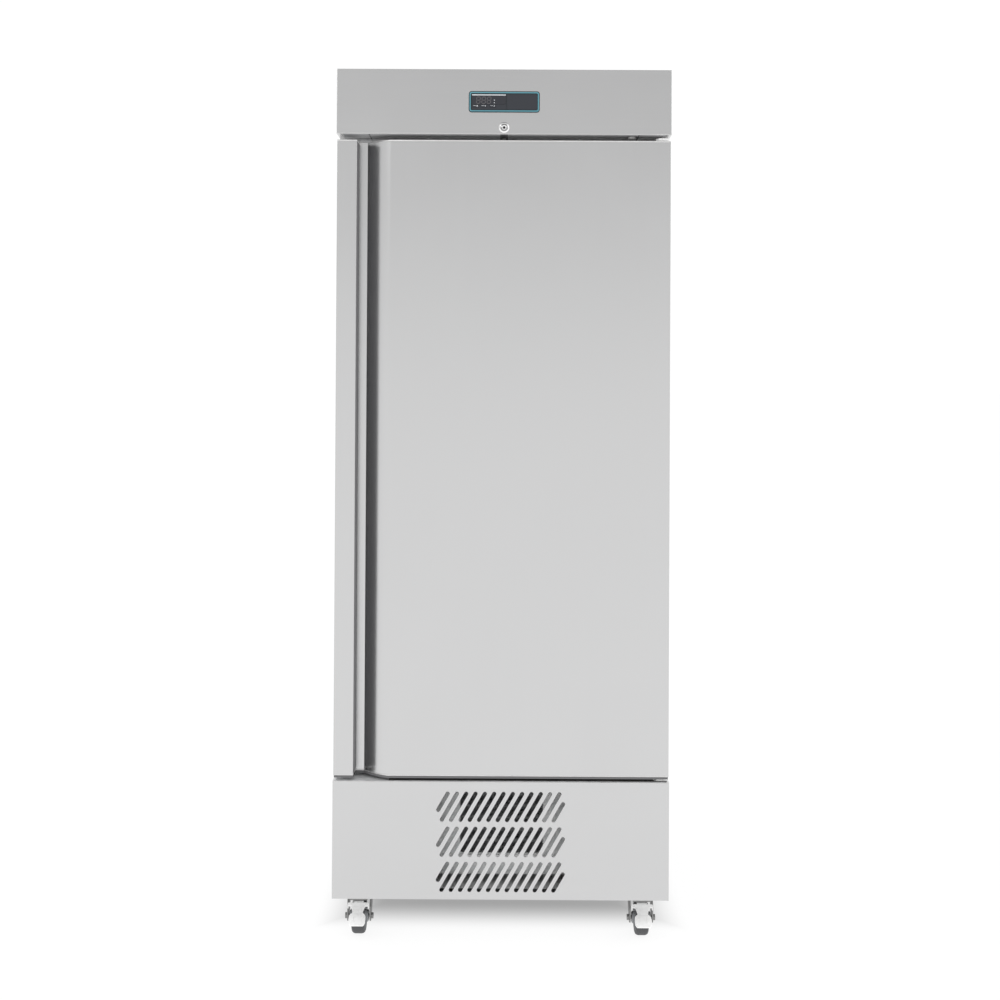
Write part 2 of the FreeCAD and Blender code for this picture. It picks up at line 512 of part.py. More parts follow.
def fan_blade(radius, hub_r, depth, bore_r, centre, count):
    """Hub and pitched blades around a shaft along Y; centre is the middle of the hub."""
    x, y, z = centre
    hub = rod(hub_r, (x, y - depth / 2, z), (x, y + depth / 2, z))
    blades = []
    for i in range(count):
        blade = box(x - radius * 0.24, x + radius * 0.24, y - 0.9, y + 0.9, z + hub_r * 0.6, z + radius)
        blade.rotate(V(x, y, z), Z_AXIS, 24)
        blade.rotate(V(x, y, z), Y_AXIS, 360.0 * i / count)
        blades.append(blade)
    limit = rod(radius, (x, y - depth * 2, z), (x, y + depth * 2, z))
    wheel = fuse([hub] + blades).common(limit)
    return [wheel.cut(rod(bore_r, (x, y - depth, z), (x, y + depth, z)))]


def evaporator_fan_blade():
    return fan_blade(EVAP_FAN_R, 14, 12, 3.05, (0, EVAP_Y0 + 14, EVAP_FAN_Z), 5)


def drain_tube():
    return [drain_route().cut(drain_route(DRAIN_BORE_R))]


def temperature_probe():
    x, y = PROBE_X, EVAP_Y0 - 6 - PROBE_R
    clip = box(x - 4, x + 4, EVAP_Y0 - 6, EVAP_Y0, PROBE_Z0 + 10, PROBE_Z1 - 10)
    bulb = rod(PROBE_R, (x, y, PROBE_Z0), (x, y, PROBE_Z1))
    return [clip, bulb]


# ---------------------------------------------------------------- base and condensing unit

def louvre_slot(x, z_low, z_high):
    """A round-ended slot through the front sheet, leaning to the right at its top."""
    r = LOUVRE_W / 2
    lean = math.tan(math.radians(LOUVRE_LEAN))
    y0, y1 = FRONT_Y - 3, FRONT_Y + 3
    x_low, x_high = x, x + (z_high - z_low) * lean
    side = V(math.cos(math.radians(LOUVRE_LEAN)), 0, -math.sin(math.radians(LOUVRE_LEAN))) * r
    low, high = V(x_low, y0, z_low), V(x_high, y0, z_high)
    ring = [low - side, low + side, high + side, high - side]
    bar = Part.Face(Part.makePolygon(ring + [ring[0]])).extrude(V(0, y1 - y0, 0))
    ends = [rod(r, (p.x, y0, p.z), (p.x, y1, p.z)) for p in (low, high)]
    return fuse([bar] + ends)


def louvre_slots():
    """Rows of slots cut to a block with upright ends, so each row's first and last slots are short."""
    r = LOUVRE_W / 2
    lean = math.tan(math.radians(LOUVRE_LEAN))
    reach = (LOUVRE_H - 2 * r) * lean
    first_x = -LOUVRE_PITCH * (LOUVRE_COUNT - 1) / 2 - reach / 2
    slots = []
    for row in range(LOUVRE_ROWS):
        high = ROW_TOP_Z - ROW_PITCH * row - r
        low = high - (LOUVRE_H - 2 * r)
        for i in range(LOUVRE_COUNT):
            x = first_x + LOUVRE_PITCH * i
            z0, z1 = low, high
            if i == 0:
                z0 = low + (high - low) * SHORT_SHARE
            if i == LOUVRE_COUNT - 1:
                z1 = high - (high - low) * SHORT_SHARE
            slots.append(louvre_slot(x + (z0 - low) * lean, z0, z1))
    return slots


def louvre_panel():
    pan = front_pan(BASE_Z0, BASE_Z1)
    return [cut(pan, louvre_slots())]


def base_side_panels():
    t = FRONT_SHEET
    return both_sides(box(HALF - t, HALF, FRAME_Y, BACK_Y - SHEET, BASE_Z0, BASE_Z1))


def chassis_tray():
    x, y1, t = HALF - FRONT_SHEET - 0.5, BACK_Y - SHEET - 2 * GUARD_THICK, TRAY
    floor = box(-x, x, FRAME_Y, y1, BASE_Z0, BASE_Z0 + t)
    flange = box(x - t, x, FRAME_Y, y1, BASE_Z0, BASE_Z0 + TRAY_LIP)
    lip = box(-x, x, y1 - t, y1, BASE_Z0, BASE_Z0 + TRAY_LIP)
    return [fuse([floor, lip] + both_sides(flange))]


def condenser_shroud():
    y0, t, x, low = SHROUD_Y, SHROUD_SHEET, SHROUD_X, BASE_Z0 + 28
    front = box(-x, x, y0, y0 + t, low, SHROUD_TOP)
    opening = rounded_plate(SHROUD_OPEN_X, SHROUD_OPEN_Z, SHROUD_OPEN_W, SHROUD_OPEN_H, 6.0, y0 - 5, y0 + 5)
    rear_y = y0 + SHROUD_DEEP
    rear = box(-TUNNEL_X, TUNNEL_X, rear_y, rear_y + t, BASE_Z0 + 4, SHROUD_TOP - 2)
    hole = rod(COND_FAN_R + 5, (0, rear_y - 5, COND_FAN_Z), (0, rear_y + 5, COND_FAN_Z))
    pipe_hole = rod(7, (LIQUID_X, rear_y - 5, LIQUID_Z), (LIQUID_X, rear_y + 5, LIQUID_Z))
    member = box(-x, x, y0 - MEMBER_THICK, y0, low, low + MEMBER_H)
    side = box(TUNNEL_X, TUNNEL_X + t, y0 + t, rear_y + t, BASE_Z0 + 4, SHROUD_TOP)
    return [front.cut(opening), cut(rear, [hole, pipe_hole]), member] + both_sides(side)


def condenser_coil():
    y0, x, z0, z1 = SHROUD_Y + COIL_GAP, COIL_X, BASE_Z0 + 20, COIL_TOP
    y1 = y0 + COIL_DEEP
    solids = [box(-x, x, y0, y1, z0, z1)]
    for y in (y0 + 14, y1 - 14):
        for i in range(4):
            z = z0 + 22 + 52 * i
            bend = pipe([(x, y, z), (x + 20, y, z), (x + 20, y, z + 25), (x, y, z + 25)], TUBE_R, BEND_R + 1)
            solids += both_sides(bend)
    return solids


def condenser_fan_motor():
    y0 = COND_MOTOR_Y
    body = rod(COND_MOTOR_R, (0, y0, COND_FAN_Z), (0, y0 + COND_MOTOR_LEN, COND_FAN_Z))
    shaft = rod(4, (0, y0 - COND_SHAFT, COND_FAN_Z), (0, y0, COND_FAN_Z))
    post = box(-14, 14, y0 + 12, y0 + 44, BASE_Z0 + 2, COND_FAN_Z)
    foot = box(-40, 40, y0 + 4, y0 + 56, BASE_Z0 + 2, BASE_Z0 + 5)
    return [fuse([body, shaft, post, foot])]


def condenser_fan_blade():
    return fan_blade(COND_FAN_R, 22, 16, 4.05, (0, SHROUD_Y + 92, COND_FAN_Z), 5)


def compressor():
    cx, cy, r = COMPRESSOR_X, COMPRESSOR_Y, SHELL_R
    z0 = BASE_Z0 + TRAY + FOOT_H
    shell = rod(r, (cx, cy, z0 + 10), (cx, cy, z0 + 10 + SHELL_H))
    rims = [e for e in shell.Edges if e.Closed and e.BoundBox.ZLength < 0.01]
    shell = shell.makeFillet(SHELL_ROUND, rims)
    seam = rod(r + 3, (cx, cy, z0 + 82), (cx, cy, z0 + 88))
    base = box(cx - 98, cx + 98, cy - 66, cy + 66, z0, z0 + 3)
    skirt = rod(40, (cx, cy, z0), (cx, cy, z0 + 14))
    cover = box(cx + 56, cx + 92, cy - 30, cy + 30, z0 + 58, z0 + 122)
    return [fuse([shell, seam, base, skirt, cover])]


def compressor_mounts():
    z0 = BASE_Z0 + TRAY
    feet = [(COMPRESSOR_X + dx, COMPRESSOR_Y + dy) for dx in (-FOOT_X, FOOT_X) for dy in (-FOOT_Y, FOOT_Y)]
    return [rod(FOOT_R, (x, y, z0), (x, y, z0 + FOOT_H)) for x, y in feet]


def filter_drier():
    x, y, z = DRIER_X, DRIER_Y, LIQUID_Z
    body = rod(DRIER_R, (x, y, z), (x, y + DRIER_LEN, z))
    rims = [e for e in body.Edges if e.Closed and e.BoundBox.YLength < 0.01]
    saddle = box(x - 8, x + 8, y + 50, y + 70, BASE_Z0 + TRAY, z - 6)
    return [body.makeFillet(8.0, rims).fuse(saddle)]


def refrigerant_pipes():
    cx, cy, r, high = COMPRESSOR_X, COMPRESSOR_Y, PIPE_R, PIPE_TOP
    top_z = BASE_Z0 + 168
    coil_y = SHROUD_Y + 30
    discharge = pipe([(cx - 20, cy, top_z), (cx - 20, cy, high), (cx, -60, high), (cx, coil_y, high),
                      (cx, coil_y, COIL_TOP)], r, 9.0)
    z = LIQUID_Z
    liquid = pipe([(LIQUID_X, SHROUD_Y + COIL_GAP + COIL_DEEP, z), (LIQUID_X, -100, z), (DRIER_X, 0, z),
                   (DRIER_X, DRIER_Y, z)], r, 14.0)
    suction = pipe([(cx + 20, cy, top_z), (cx + 20, cy, 330), (40, 300, 330), (40, 300, BASE_Z1)],
                   r + 2, 16.0)
    return [discharge, liquid, suction]


def condensate_pan():
    z0, t = BASE_Z0 + TRAY, PAN_WALL
    outer = box(PAN_X0, PAN_X1, PAN_Y0, PAN_Y1, z0, z0 + PAN_H)
    inner = box(PAN_X0 + t, PAN_X1 - t, PAN_Y0 + t, PAN_Y1 - t, z0 + t, z0 + 2 * PAN_H)
    return [outer.cut(inner)]


def terminal_box():
    z0 = BASE_Z0 + TRAY
    body = box(TERMINAL_X0, TERMINAL_X1, TERMINAL_Y0, TERMINAL_Y1, z0, z0 + TERMINAL_H)
    edges = [e for e in body.Edges if abs(e.tangentAt(e.FirstParameter).z) > 0.99]
    return [body.makeFillet(6.0, edges)]


def mains_inlet():
    x, z, y = INLET_X, INLET_Z, BACK_Y - SHEET - GUARD_THICK
    nut = hex_head(NUT_R, (x, y, z), (0, 1, 0), NUT_H)
    gland = rod(INLET_R, (x, y - 14, z), (x, REAR_Y, z))
    return [fuse([nut, gland]).cut(rod(INLET_BORE_R, (x, y - 20, z), (x, REAR_Y + 1, z)))]


def rear_guard():
    y0, y1 = BACK_Y - SHEET - 2 * GUARD_THICK, BACK_Y - SHEET - GUARD_THICK
    x = HALF - FRONT_SHEET - 0.5
    plate = box(-x, x, y0, y1, BASE_Z0 + TRAY_LIP + 1, BASE_Z1)
    tools = [rod(INLET_R, (INLET_X, y0 - 1, INLET_Z), (INLET_X, y1 + 1, INLET_Z))]
    for x0 in VENT_XS:
        for i in range(VENT_ROWS):
            z = BASE_Z0 + 50 + VENT_PITCH * i
            tools.append(box(x0, x0 + VENT_W, y0 - 1, y1 + 1, z, z + VENT_H))
    return [cut(plate, tools)]


def fixing_screws():
    solids = []
    for x in (-167.0, 0.0, 167.0):
        solids.append(rod(4.5, (x, -358.5, FASCIA_Z0 - 2.5), (x, -358.5, FASCIA_Z0)))
    y = BACK_Y - SHEET - GUARD_THICK
    for x in (-345.0, 0.0, 345.0):
        for z in (BASE_Z0 + 32, BASE_Z1 - 12):
            solids.append(rod(5, (x, y, z), (x, y + 2.5, z)))
    for sx, sy in CASTORS.values():
        for dx in (-PLATE_BOLT_X, PLATE_BOLT_X):
            for dy in (-PLATE_BOLT_Y, PLATE_BOLT_Y):
                centre = (sx * CASTOR_X + dx, sy * CASTOR_Y + dy, BASE_Z0 - PLATE_T)
                solids.append(hex_head(6.5, centre, (0, 0, -1), 4))
    return solids


# ---------------------------------------------------------------- castors

def castor_plates():
    solids = []
    for sx, sy in CASTORS.values():
        x, y = sx * CASTOR_X, sy * CASTOR_Y
        low = BASE_Z0 - PLATE_T
        plate = box(x - PLATE_X, x + PLATE_X, y - PLATE_Y, y + PLATE_Y, low, BASE_Z0)
        upright = [e for e in plate.Edges if abs(e.tangentAt(e.FirstParameter).z) > 0.99]
        plate = plate.makeFillet(6.0, upright)
        race = rod(RACE_R, (x, y, low - RACE_H), (x, y, low))
        solids.append(plate.fuse(race))
    return solids


def castor_fork(sx, sy):
    """Swivel head, two legs and the axle bolt; the wheel trails towards the nearest end."""
    x, y = sx * CASTOR_X, sy * CASTOR_Y
    ay = y + sy * TRAIL
    top = BASE_Z0 - PLATE_T - RACE_H - FIT_GAP
    crown = rod(FORK_OUT, (x, y, top - 5), (x, y, top))
    bridge = box(x - FORK_OUT, x + FORK_OUT, min(y - sy * 16, y + sy * 22), max(y - sy * 16, y + sy * 22),
                 top - 5, top)
    legs = []
    profile = [(-16, top), (-16, 84), (16, 32), (24, 27.5), (36, 27.5), (42, 36), (40, 60), (22, top)]
    for side in (-1, 1):
        x0 = x + side * FORK_OUT if side < 0 else x + FORK_OUT - FORK_T
        leg = prism([(0, sy * dy, z) for dy, z in profile], (x0, y, 0), (FORK_T, 0, 0))
        legs.append(leg)
    axle = rod(AXLE_R, (x - FORK_OUT - 2, ay, WHEEL_R), (x + FORK_OUT + 2, ay, WHEEL_R))
    heads = [hex_head(7, (x + FORK_OUT, ay, WHEEL_R), (1, 0, 0), 5),
             hex_head(7, (x - FORK_OUT, ay, WHEEL_R), (-1, 0, 0), 5)]
    return [fuse([crown, bridge] + legs + [axle] + heads)]


def castor_wheel(sx, sy):
    x, ay = sx * CASTOR_X, sy * (CASTOR_Y + TRAIL)
    tyre = rod(WHEEL_R, (x - WHEEL_W / 2, ay, WHEEL_R), (x + WHEEL_W / 2, ay, WHEEL_R))
    rims = [e for e in tyre.Edges if e.Closed and e.BoundBox.XLength < 0.01]
    tyre = tyre.makeFillet(TREAD_ROUND, rims)
    dish_r = WHEEL_R - TREAD_ROUND - 3
    groove = rod(dish_r, (x + WHEEL_W / 2 - 3, ay, WHEEL_R), (x + WHEEL_W / 2 + 1, ay, WHEEL_R))
    other = rod(dish_r, (x - WHEEL_W / 2 - 1, ay, WHEEL_R), (x - WHEEL_W / 2 + 3, ay, WHEEL_R))
    hub = rod(HUB_R, (x - HUB_W / 2, ay, WHEEL_R), (x + HUB_W / 2, ay, WHEEL_R))
    bore = rod(AXLE_R + AXLE_GAP, (x - 40, ay, WHEEL_R), (x + 40, ay, WHEEL_R))
    return [tyre.cut(groove).cut(other).fuse(hub).cut(bore)]


def brake_pedal(sx, sy):
    """A bent foot pedal in front of the wheel, hinged between the fork's legs."""
    x, y = sx * CASTOR_X, sy * CASTOR_Y
    # along the bent sheet: (forward distance, height, half width)
    stations = [(50, 84, 10.5), (53, 80, 10.5), (54, 78, 24.0), (58, 74, 24.0), (59, 73, 16.5),
                (68, 66, 12.5), (73, 62, 12.0), (77, 59, 17.5), (81, 56, 18.5), (92, 48, 18.5),
                (98, 44, 14.5)]
    pieces = []
    for (d0, z0, w0), (d1, z1, w1) in zip(stations, stations[1:]):
        ring = [V(x - w0, y + sy * d0, z0), V(x + w0, y + sy * d0, z0),
                V(x + w1, y + sy * d1, z1), V(x - w1, y + sy * d1, z1)]
        pieces.append(Part.Face(Part.makePolygon(ring + [ring[0]])).extrude(V(0, 0, PEDAL_SHEET)))
    ay, az = y + sy * PEDAL_PIVOT_Y, PEDAL_PIVOT_Z
    pieces.append(rod(PEDAL_PIN_R, (x - PEDAL_PIN_HALF, ay, az), (x + PEDAL_PIN_HALF, ay, az)))
    reach = sorted((ay, y + sy * 53))
    for x0 in (x - 20, x + 16):
        pieces.append(box(x0, x0 + 4, reach[0], reach[1], az - 3, az + 3))
    bar = sorted((y + sy * 51, y + sy * 57))
    pieces.append(box(x - 20, x + 20, bar[0], bar[1], 79, 88))
    return [fuse(pieces)]


NODES = {
    "side_skins": side_skins, "top_skin": top_skin, "back_skin": back_skin, "front_frame": front_frame,
    "inner_liner": inner_liner, "wall_insulation": wall_insulation, "fascia_panel": fascia_panel,
    "controller_bezel": controller_bezel, "controller_module": controller_module,
    "display_window": display_window, "badge_plate": badge_plate, "lock_barrel": lock_barrel,
    "lock_cylinder": lock_cylinder, "lock_bolt": lock_bolt, "door_insulation": door_insulation,
    "door_outer_skin": door_outer_skin, "door_inner_skin": door_inner_skin, "door_gasket": door_gasket,
    "hinge_bushes": hinge_bushes, "hinge_brackets": hinge_brackets, "hinge_pins": hinge_pins,
    "racking_uprights": racking_uprights, "shelf_runners": shelf_runners, "wire_shelves": wire_shelves,
    "evaporator_housing": evaporator_housing, "evaporator_coil": evaporator_coil,
    "evaporator_fan_motor": evaporator_fan_motor, "evaporator_fan_blade": evaporator_fan_blade,
    "drain_tube": drain_tube, "temperature_probe": temperature_probe, "louvre_panel": louvre_panel,
    "base_side_panels": base_side_panels, "chassis_tray": chassis_tray,
    "condenser_shroud": condenser_shroud, "condenser_coil": condenser_coil,
    "condenser_fan_motor": condenser_fan_motor, "condenser_fan_blade": condenser_fan_blade,
    "compressor": compressor, "compressor_mounts": compressor_mounts, "filter_drier": filter_drier,
    "refrigerant_pipes": refrigerant_pipes, "condensate_pan": condensate_pan,
    "terminal_box": terminal_box, "mains_inlet": mains_inlet, "rear_guard": rear_guard,
    "fixing_screws": fixing_screws, "castor_plates": castor_plates,
}


def build():
    os.makedirs("parts", exist_ok=True)
    nodes = {name: make() for name, make in NODES.items()}
    for name, x in KEY_XS.items():
        nodes[name] = controller_key(x)
    for name, (sx, sy) in CASTORS.items():
        nodes["castor_fork_" + name] = castor_fork(sx, sy)
        nodes["castor_wheel_" + name] = castor_wheel(sx, sy)
        if sy < 0:
            nodes["brake_pedal_" + name] = brake_pedal(sx, sy)
    for name, solids in nodes.items():
        shape = Part.makeCompound(solids)
        if not shape.isValid() or not shape.Solids:
            print("not a valid solid:", name)
        shape.exportStep("parts/" + name + ".step")
    print(len(nodes), "nodes written")


build()
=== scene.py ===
# %% [markdown]
# A reach-in refrigerator for a restaurant kitchen: one tall stainless door with a recessed handle, a
# fascia with a small controller above it and a louvred base below it, all on four castors. The sheet
# metal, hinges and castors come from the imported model, which is loaded first and never moved. This
# lesson dresses that model: it sets the camera and the light, mixes each finish from nodes, softens the
# folded edges, and builds the small pieces that need more shape than a plain solid has.

# %% Load the frame
import math
import random

import bmesh
import bpy
from mathutils import Matrix, Vector


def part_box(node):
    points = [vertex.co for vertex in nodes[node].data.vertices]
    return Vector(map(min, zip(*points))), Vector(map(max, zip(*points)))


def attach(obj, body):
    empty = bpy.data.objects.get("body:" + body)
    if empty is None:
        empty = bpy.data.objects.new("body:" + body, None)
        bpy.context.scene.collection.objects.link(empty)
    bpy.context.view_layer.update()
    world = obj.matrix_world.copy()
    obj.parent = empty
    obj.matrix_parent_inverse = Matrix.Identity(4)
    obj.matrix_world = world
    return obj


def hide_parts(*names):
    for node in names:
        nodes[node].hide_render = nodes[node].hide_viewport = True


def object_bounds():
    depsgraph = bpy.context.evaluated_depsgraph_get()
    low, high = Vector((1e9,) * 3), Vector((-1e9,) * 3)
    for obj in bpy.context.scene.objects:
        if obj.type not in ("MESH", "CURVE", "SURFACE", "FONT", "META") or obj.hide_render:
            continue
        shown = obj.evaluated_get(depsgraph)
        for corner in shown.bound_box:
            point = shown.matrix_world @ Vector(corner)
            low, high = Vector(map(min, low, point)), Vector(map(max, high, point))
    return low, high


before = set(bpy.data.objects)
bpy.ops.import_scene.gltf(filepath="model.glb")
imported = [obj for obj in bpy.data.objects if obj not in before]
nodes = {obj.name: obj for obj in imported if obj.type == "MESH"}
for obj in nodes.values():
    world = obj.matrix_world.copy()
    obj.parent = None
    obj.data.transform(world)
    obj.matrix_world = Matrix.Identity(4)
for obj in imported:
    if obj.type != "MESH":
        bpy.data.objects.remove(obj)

cad_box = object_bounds()
print("pieces in the frame:", len(nodes), "box:", [[round(v, 4) for v in c] for c in cad_box])

# %% [markdown]
# The camera stands about three metres in front of the door, a little above its middle. It is turned
# only slightly, and the lens is shifted down instead of tilted, as a product photographer does, so the
# cabinet's upright edges stay upright. Setting the camera's matrix from its own right, up and forward
# directions keeps the small roll exact, which three separate angles would make harder to read.

# %% Camera
CAMERA_DISTANCE = 3.0
CAMERA_X, CAMERA_HEIGHT = 0.003, 1.243
PITCH, ROLL, YAW = math.radians(0.552), math.radians(0.298), math.radians(0.178)
FOCAL_WIDTHS = 1.380
LENS_SHIFT = -0.1356

front_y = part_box("door_outer_skin")[0][1]
camera_data = bpy.data.cameras.new("camera")
camera_data.sensor_width = 36.0
camera_data.lens = FOCAL_WIDTHS * camera_data.sensor_width
camera_data.shift_y = LENS_SHIFT
camera = bpy.data.objects.new("camera", camera_data)
bpy.context.scene.collection.objects.link(camera)
bpy.context.scene.camera = camera

forward = Vector((-math.sin(YAW) * math.cos(PITCH), math.cos(YAW) * math.cos(PITCH), math.sin(PITCH)))
level_right = Vector((math.cos(YAW), math.sin(YAW), 0.0))
level_up = level_right.cross(forward)
right = level_right * math.cos(ROLL) + level_up * math.sin(ROLL)
up = level_up * math.cos(ROLL) - level_right * math.sin(ROLL)
place = Matrix((right, up, -forward)).transposed().to_4x4()
place.translation = Vector((CAMERA_X, front_y - CAMERA_DISTANCE, CAMERA_HEIGHT))
camera.matrix_world = place
print("camera at", [round(v, 3) for v in place.translation], "lens", round(camera_data.lens, 2), "mm")

# %% [markdown]
# Stainless steel shows what stands around it. The studio is white for the floor and the backdrop, but a
# photographer hangs grey cards above the camera, and the steel mirrors them: the fascia, which looks at
# the higher cards, comes out darker than the base, which looks at the pale floor. The cards are a fade
# in the sky by the direction of the ray, and only reflected rays see it, so the floor stays white. A
# narrow black flag far out on the left gives the curved grip recess its dark-to-bright roll.

# %% Sky with grey cards
CARD_LOW, CARD_HIGH, CARD_TONE = -0.02, 0.24, 0.62
CARD_SIDE, CARD_AHEAD = 0.1, -0.5
FLAG_START, FLAG_END, FLAG_TONE = -0.955, -1.0, 0.30
SKY_POWER = 1.03

scene = bpy.context.scene
scene.view_settings.view_transform = "Standard"
world = bpy.data.worlds.new("studio")
scene.world = world
world.use_nodes = True
sky = world.node_tree


def connect(tree, value, socket):
    """Gives a socket a plain value, or a link from another socket."""
    if isinstance(value, bpy.types.NodeSocket):
        tree.links.new(value, socket)
    else:
        socket.default_value = value


def add_node(tree, kind, **inputs):
    """A shader node with its inputs set; an underscore in a name stands for a space."""
    node = tree.nodes.new("ShaderNode" + kind)
    for label, value in inputs.items():
        connect(tree, value, node.inputs[label.replace("_", " ")])
    return node


def fade(tree, value, start, end, kind="SMOOTHSTEP"):
    """A 0 to 1 ramp as value goes from start to end."""
    node = add_node(tree, "MapRange", Value=value, From_Min=start, From_Max=end)
    node.interpolation_type = kind
    return node.outputs[0]


def math_node(tree, operation, first, second=0.0):
    """A math node whose two inputs are sockets or plain numbers."""
    node = add_node(tree, "Math")
    node.operation = operation
    connect(tree, first, node.inputs[0])
    connect(tree, second, node.inputs[1])
    return node.outputs[0]


def blend(tree, mask, first, second):
    """Mixes two colours, each one a tone or a socket, by a mask."""
    mix = add_node(tree, "Mix")
    mix.data_type = "RGBA"
    for label, value in (("Factor", mask), ("A", first), ("B", second)):
        connect(tree, value, mix.inputs[label])
    return mix.outputs["Result"]


direction = add_node(sky, "SeparateXYZ", Vector=add_node(sky, "TexCoord").outputs["Generated"])
card = math_node(sky, "MULTIPLY", fade(sky, direction.outputs["Z"], CARD_LOW, CARD_HIGH),
                 fade(sky, direction.outputs["Y"], CARD_SIDE, CARD_AHEAD))
flag = fade(sky, direction.outputs["X"], FLAG_START, FLAG_END)
reflected = add_node(sky, "LightPath").outputs["Is Glossy Ray"]
sky_color = (1, 1, 1, 1)
for mask, tone in ((card, CARD_TONE), (flag, FLAG_TONE)):
    sky_color = blend(sky, math_node(sky, "MULTIPLY", mask, reflected), sky_color, (tone, tone, tone, 1))
background = sky.nodes["Background"]
connect(sky, sky_color, background.inputs["Color"])
background.inputs["Strength"].default_value = SKY_POWER
print("sky fades from 1.0 to", CARD_TONE)

# %% [markdown]
# Two soft lamps in front give the floor near the cabinet a little more light than the sky alone, and
# they put a faint edge light on the folds. The floor is a wide sheet of white paper that glows by
# itself, so it melts into the backdrop. Under the cabinet the glow fades out, which is a painted
# shadow that sets the cabinet on the ground.

# %% Lamps and floor
def softbox(name, location, target, size, power):
    """A large soft lamp at location that faces target."""
    lamp = bpy.data.lights.new(name, "AREA")
    lamp.shape = "RECTANGLE"
    lamp.size, lamp.size_y = size
    lamp.energy = power
    holder = bpy.data.objects.new(name, lamp)
    scene.collection.objects.link(holder)
    holder.location = location
    aim = (Vector(target) - Vector(location)).to_track_quat("-Z", "Y")
    holder.rotation_euler = aim.to_euler()
    return holder


softbox("key_softbox", (-2.4, -3.0, 3.4), (0, -0.6, 0.4), (1.8, 1.8), 30)
softbox("fill_softbox", (2.6, -2.6, 3.0), (0, -0.6, 0.3), (1.8, 1.8), 16)

FLOOR_HALF = 150.0
floor_mesh = bpy.data.meshes.new("studio_floor")
corners = [(-FLOOR_HALF, -FLOOR_HALF, 0), (FLOOR_HALF, -FLOOR_HALF, 0),
           (FLOOR_HALF, FLOOR_HALF, 0), (-FLOOR_HALF, FLOOR_HALF, 0)]
floor_mesh.from_pydata(corners, [], [(0, 1, 2, 3)])
floor = bpy.data.objects.new("studio_floor", floor_mesh)
scene.collection.objects.link(floor)

# %% [markdown]
# Several finishes share the same small effects, so each effect is a node group that is built once. A
# group only hands out values, such as a mask or a height, and the shader that uses them stays in the
# material. The first group is grain: a noise that is stretched along one axis until it turns into the
# fine parallel lines that a sanding belt leaves on sheet steel.

# %% Node-group helpers
FLOAT, VECTOR = "NodeSocketFloat", "NodeSocketVector"


def new_group(name, inputs, output):
    """A node group with named inputs; returns it with its input values and its one output."""
    group = bpy.data.node_groups.new(name, "ShaderNodeTree")
    for label, kind, value in inputs:
        group.interface.new_socket(label, in_out="INPUT", socket_type=kind).default_value = value
    group.interface.new_socket(output, in_out="OUTPUT", socket_type=FLOAT)
    given = group.nodes.new("NodeGroupInput").outputs
    return group, given, group.nodes.new("NodeGroupOutput").inputs[0]


def over_object(tree, kind, **inputs):
    """A texture laid over the object's own coordinates."""
    return add_node(tree, kind, Vector=add_node(tree, "TexCoord").outputs["Object"], **inputs)

# %% Grain group
grain_group, given, lines = new_group(
    "belt_grain", [("Stretch", VECTOR, (700.0, 700.0, 5.0)), ("Softness", FLOAT, 0.5)], "Lines")
stretched = add_node(grain_group, "VectorMath")
stretched.operation = "MULTIPLY"
connect(grain_group, add_node(grain_group, "TexCoord").outputs["Object"], stretched.inputs[0])
connect(grain_group, given["Stretch"], stretched.inputs[1])
noise = add_node(grain_group, "TexNoise", Vector=stretched.outputs[0], Scale=1.0, Detail=3.0,
                 Roughness=given["Softness"])
connect(grain_group, noise.outputs["Fac"], lines)

# %% [markdown]
# The second group is handling: the faint cloudy marks that wiping and hands leave. It only changes
# roughness by a few hundredths, which is enough to stop a large panel from looking like plastic. The
# third is settled dust, which lies on faces that look up and fades out on upright ones.

# %% Handling and dust groups
handling_group, given, marks = new_group(
    "handling_marks", [("Scale", FLOAT, 6.0), ("Contrast", FLOAT, 1.0)], "Marks")
cloud = over_object(handling_group, "TexNoise", Scale=given["Scale"], Detail=5.0, Distortion=0.6)
centred = math_node(handling_group, "SUBTRACT", cloud.outputs["Fac"], 0.5)
gain = math_node(handling_group, "MULTIPLY", centred, given["Contrast"])
connect(handling_group, math_node(handling_group, "ADD", gain, 0.5), marks)

dust_group, given, dust = new_group("settled_dust", [("Amount", FLOAT, 0.5)], "Dust")
normal = add_node(dust_group, "SeparateXYZ", Vector=add_node(dust_group, "NewGeometry").outputs["Normal"])
facing_up = fade(dust_group, normal.outputs["Z"], 0.55, 1.0, "LINEAR")
specks = over_object(dust_group, "TexNoise", Scale=45.0, Detail=6.0)
lying = math_node(dust_group, "MULTIPLY", facing_up, specks.outputs["Fac"])
connect(dust_group, math_node(dust_group, "MULTIPLY", lying, given["Amount"]), dust)
print("shared effects:", [g.name for g in bpy.data.node_groups])

# %% [markdown]
# Every material starts from one helper that makes a Principled shader and sets the values that are the
# same all over the surface straight on its sockets. What varies over the surface, such as the colour,
# roughness and bump, is then linked in.

# %% Material helpers
def new_material(name, color, metallic, roughness):
    """A material with its Principled shader set; returns the material, its tree and the shader."""
    material = bpy.data.materials.new(name)
    material.use_nodes = True
    tree = material.node_tree
    shader = tree.nodes["Principled BSDF"]
    shader.inputs["Base Color"].default_value = (*color, 1.0)
    shader.inputs["Metallic"].default_value = metallic
    shader.inputs["Roughness"].default_value = roughness
    material.diffuse_color = (*color, 1.0)
    return material, tree, shader


def place_group(tree, group, **values):
    """Puts a shared effect into a material with its own values, and returns its answer."""
    node = tree.nodes.new("ShaderNodeGroup")
    node.node_tree = group
    for label, value in values.items():
        node.inputs[label].default_value = value
    return node.outputs[0]


def vary_color(tree, shader, mask, dark, light):
    """Blends the base colour between two tones by a mask."""
    connect(tree, blend(tree, mask, (*dark, 1.0), (*light, 1.0)), shader.inputs["Base Color"])


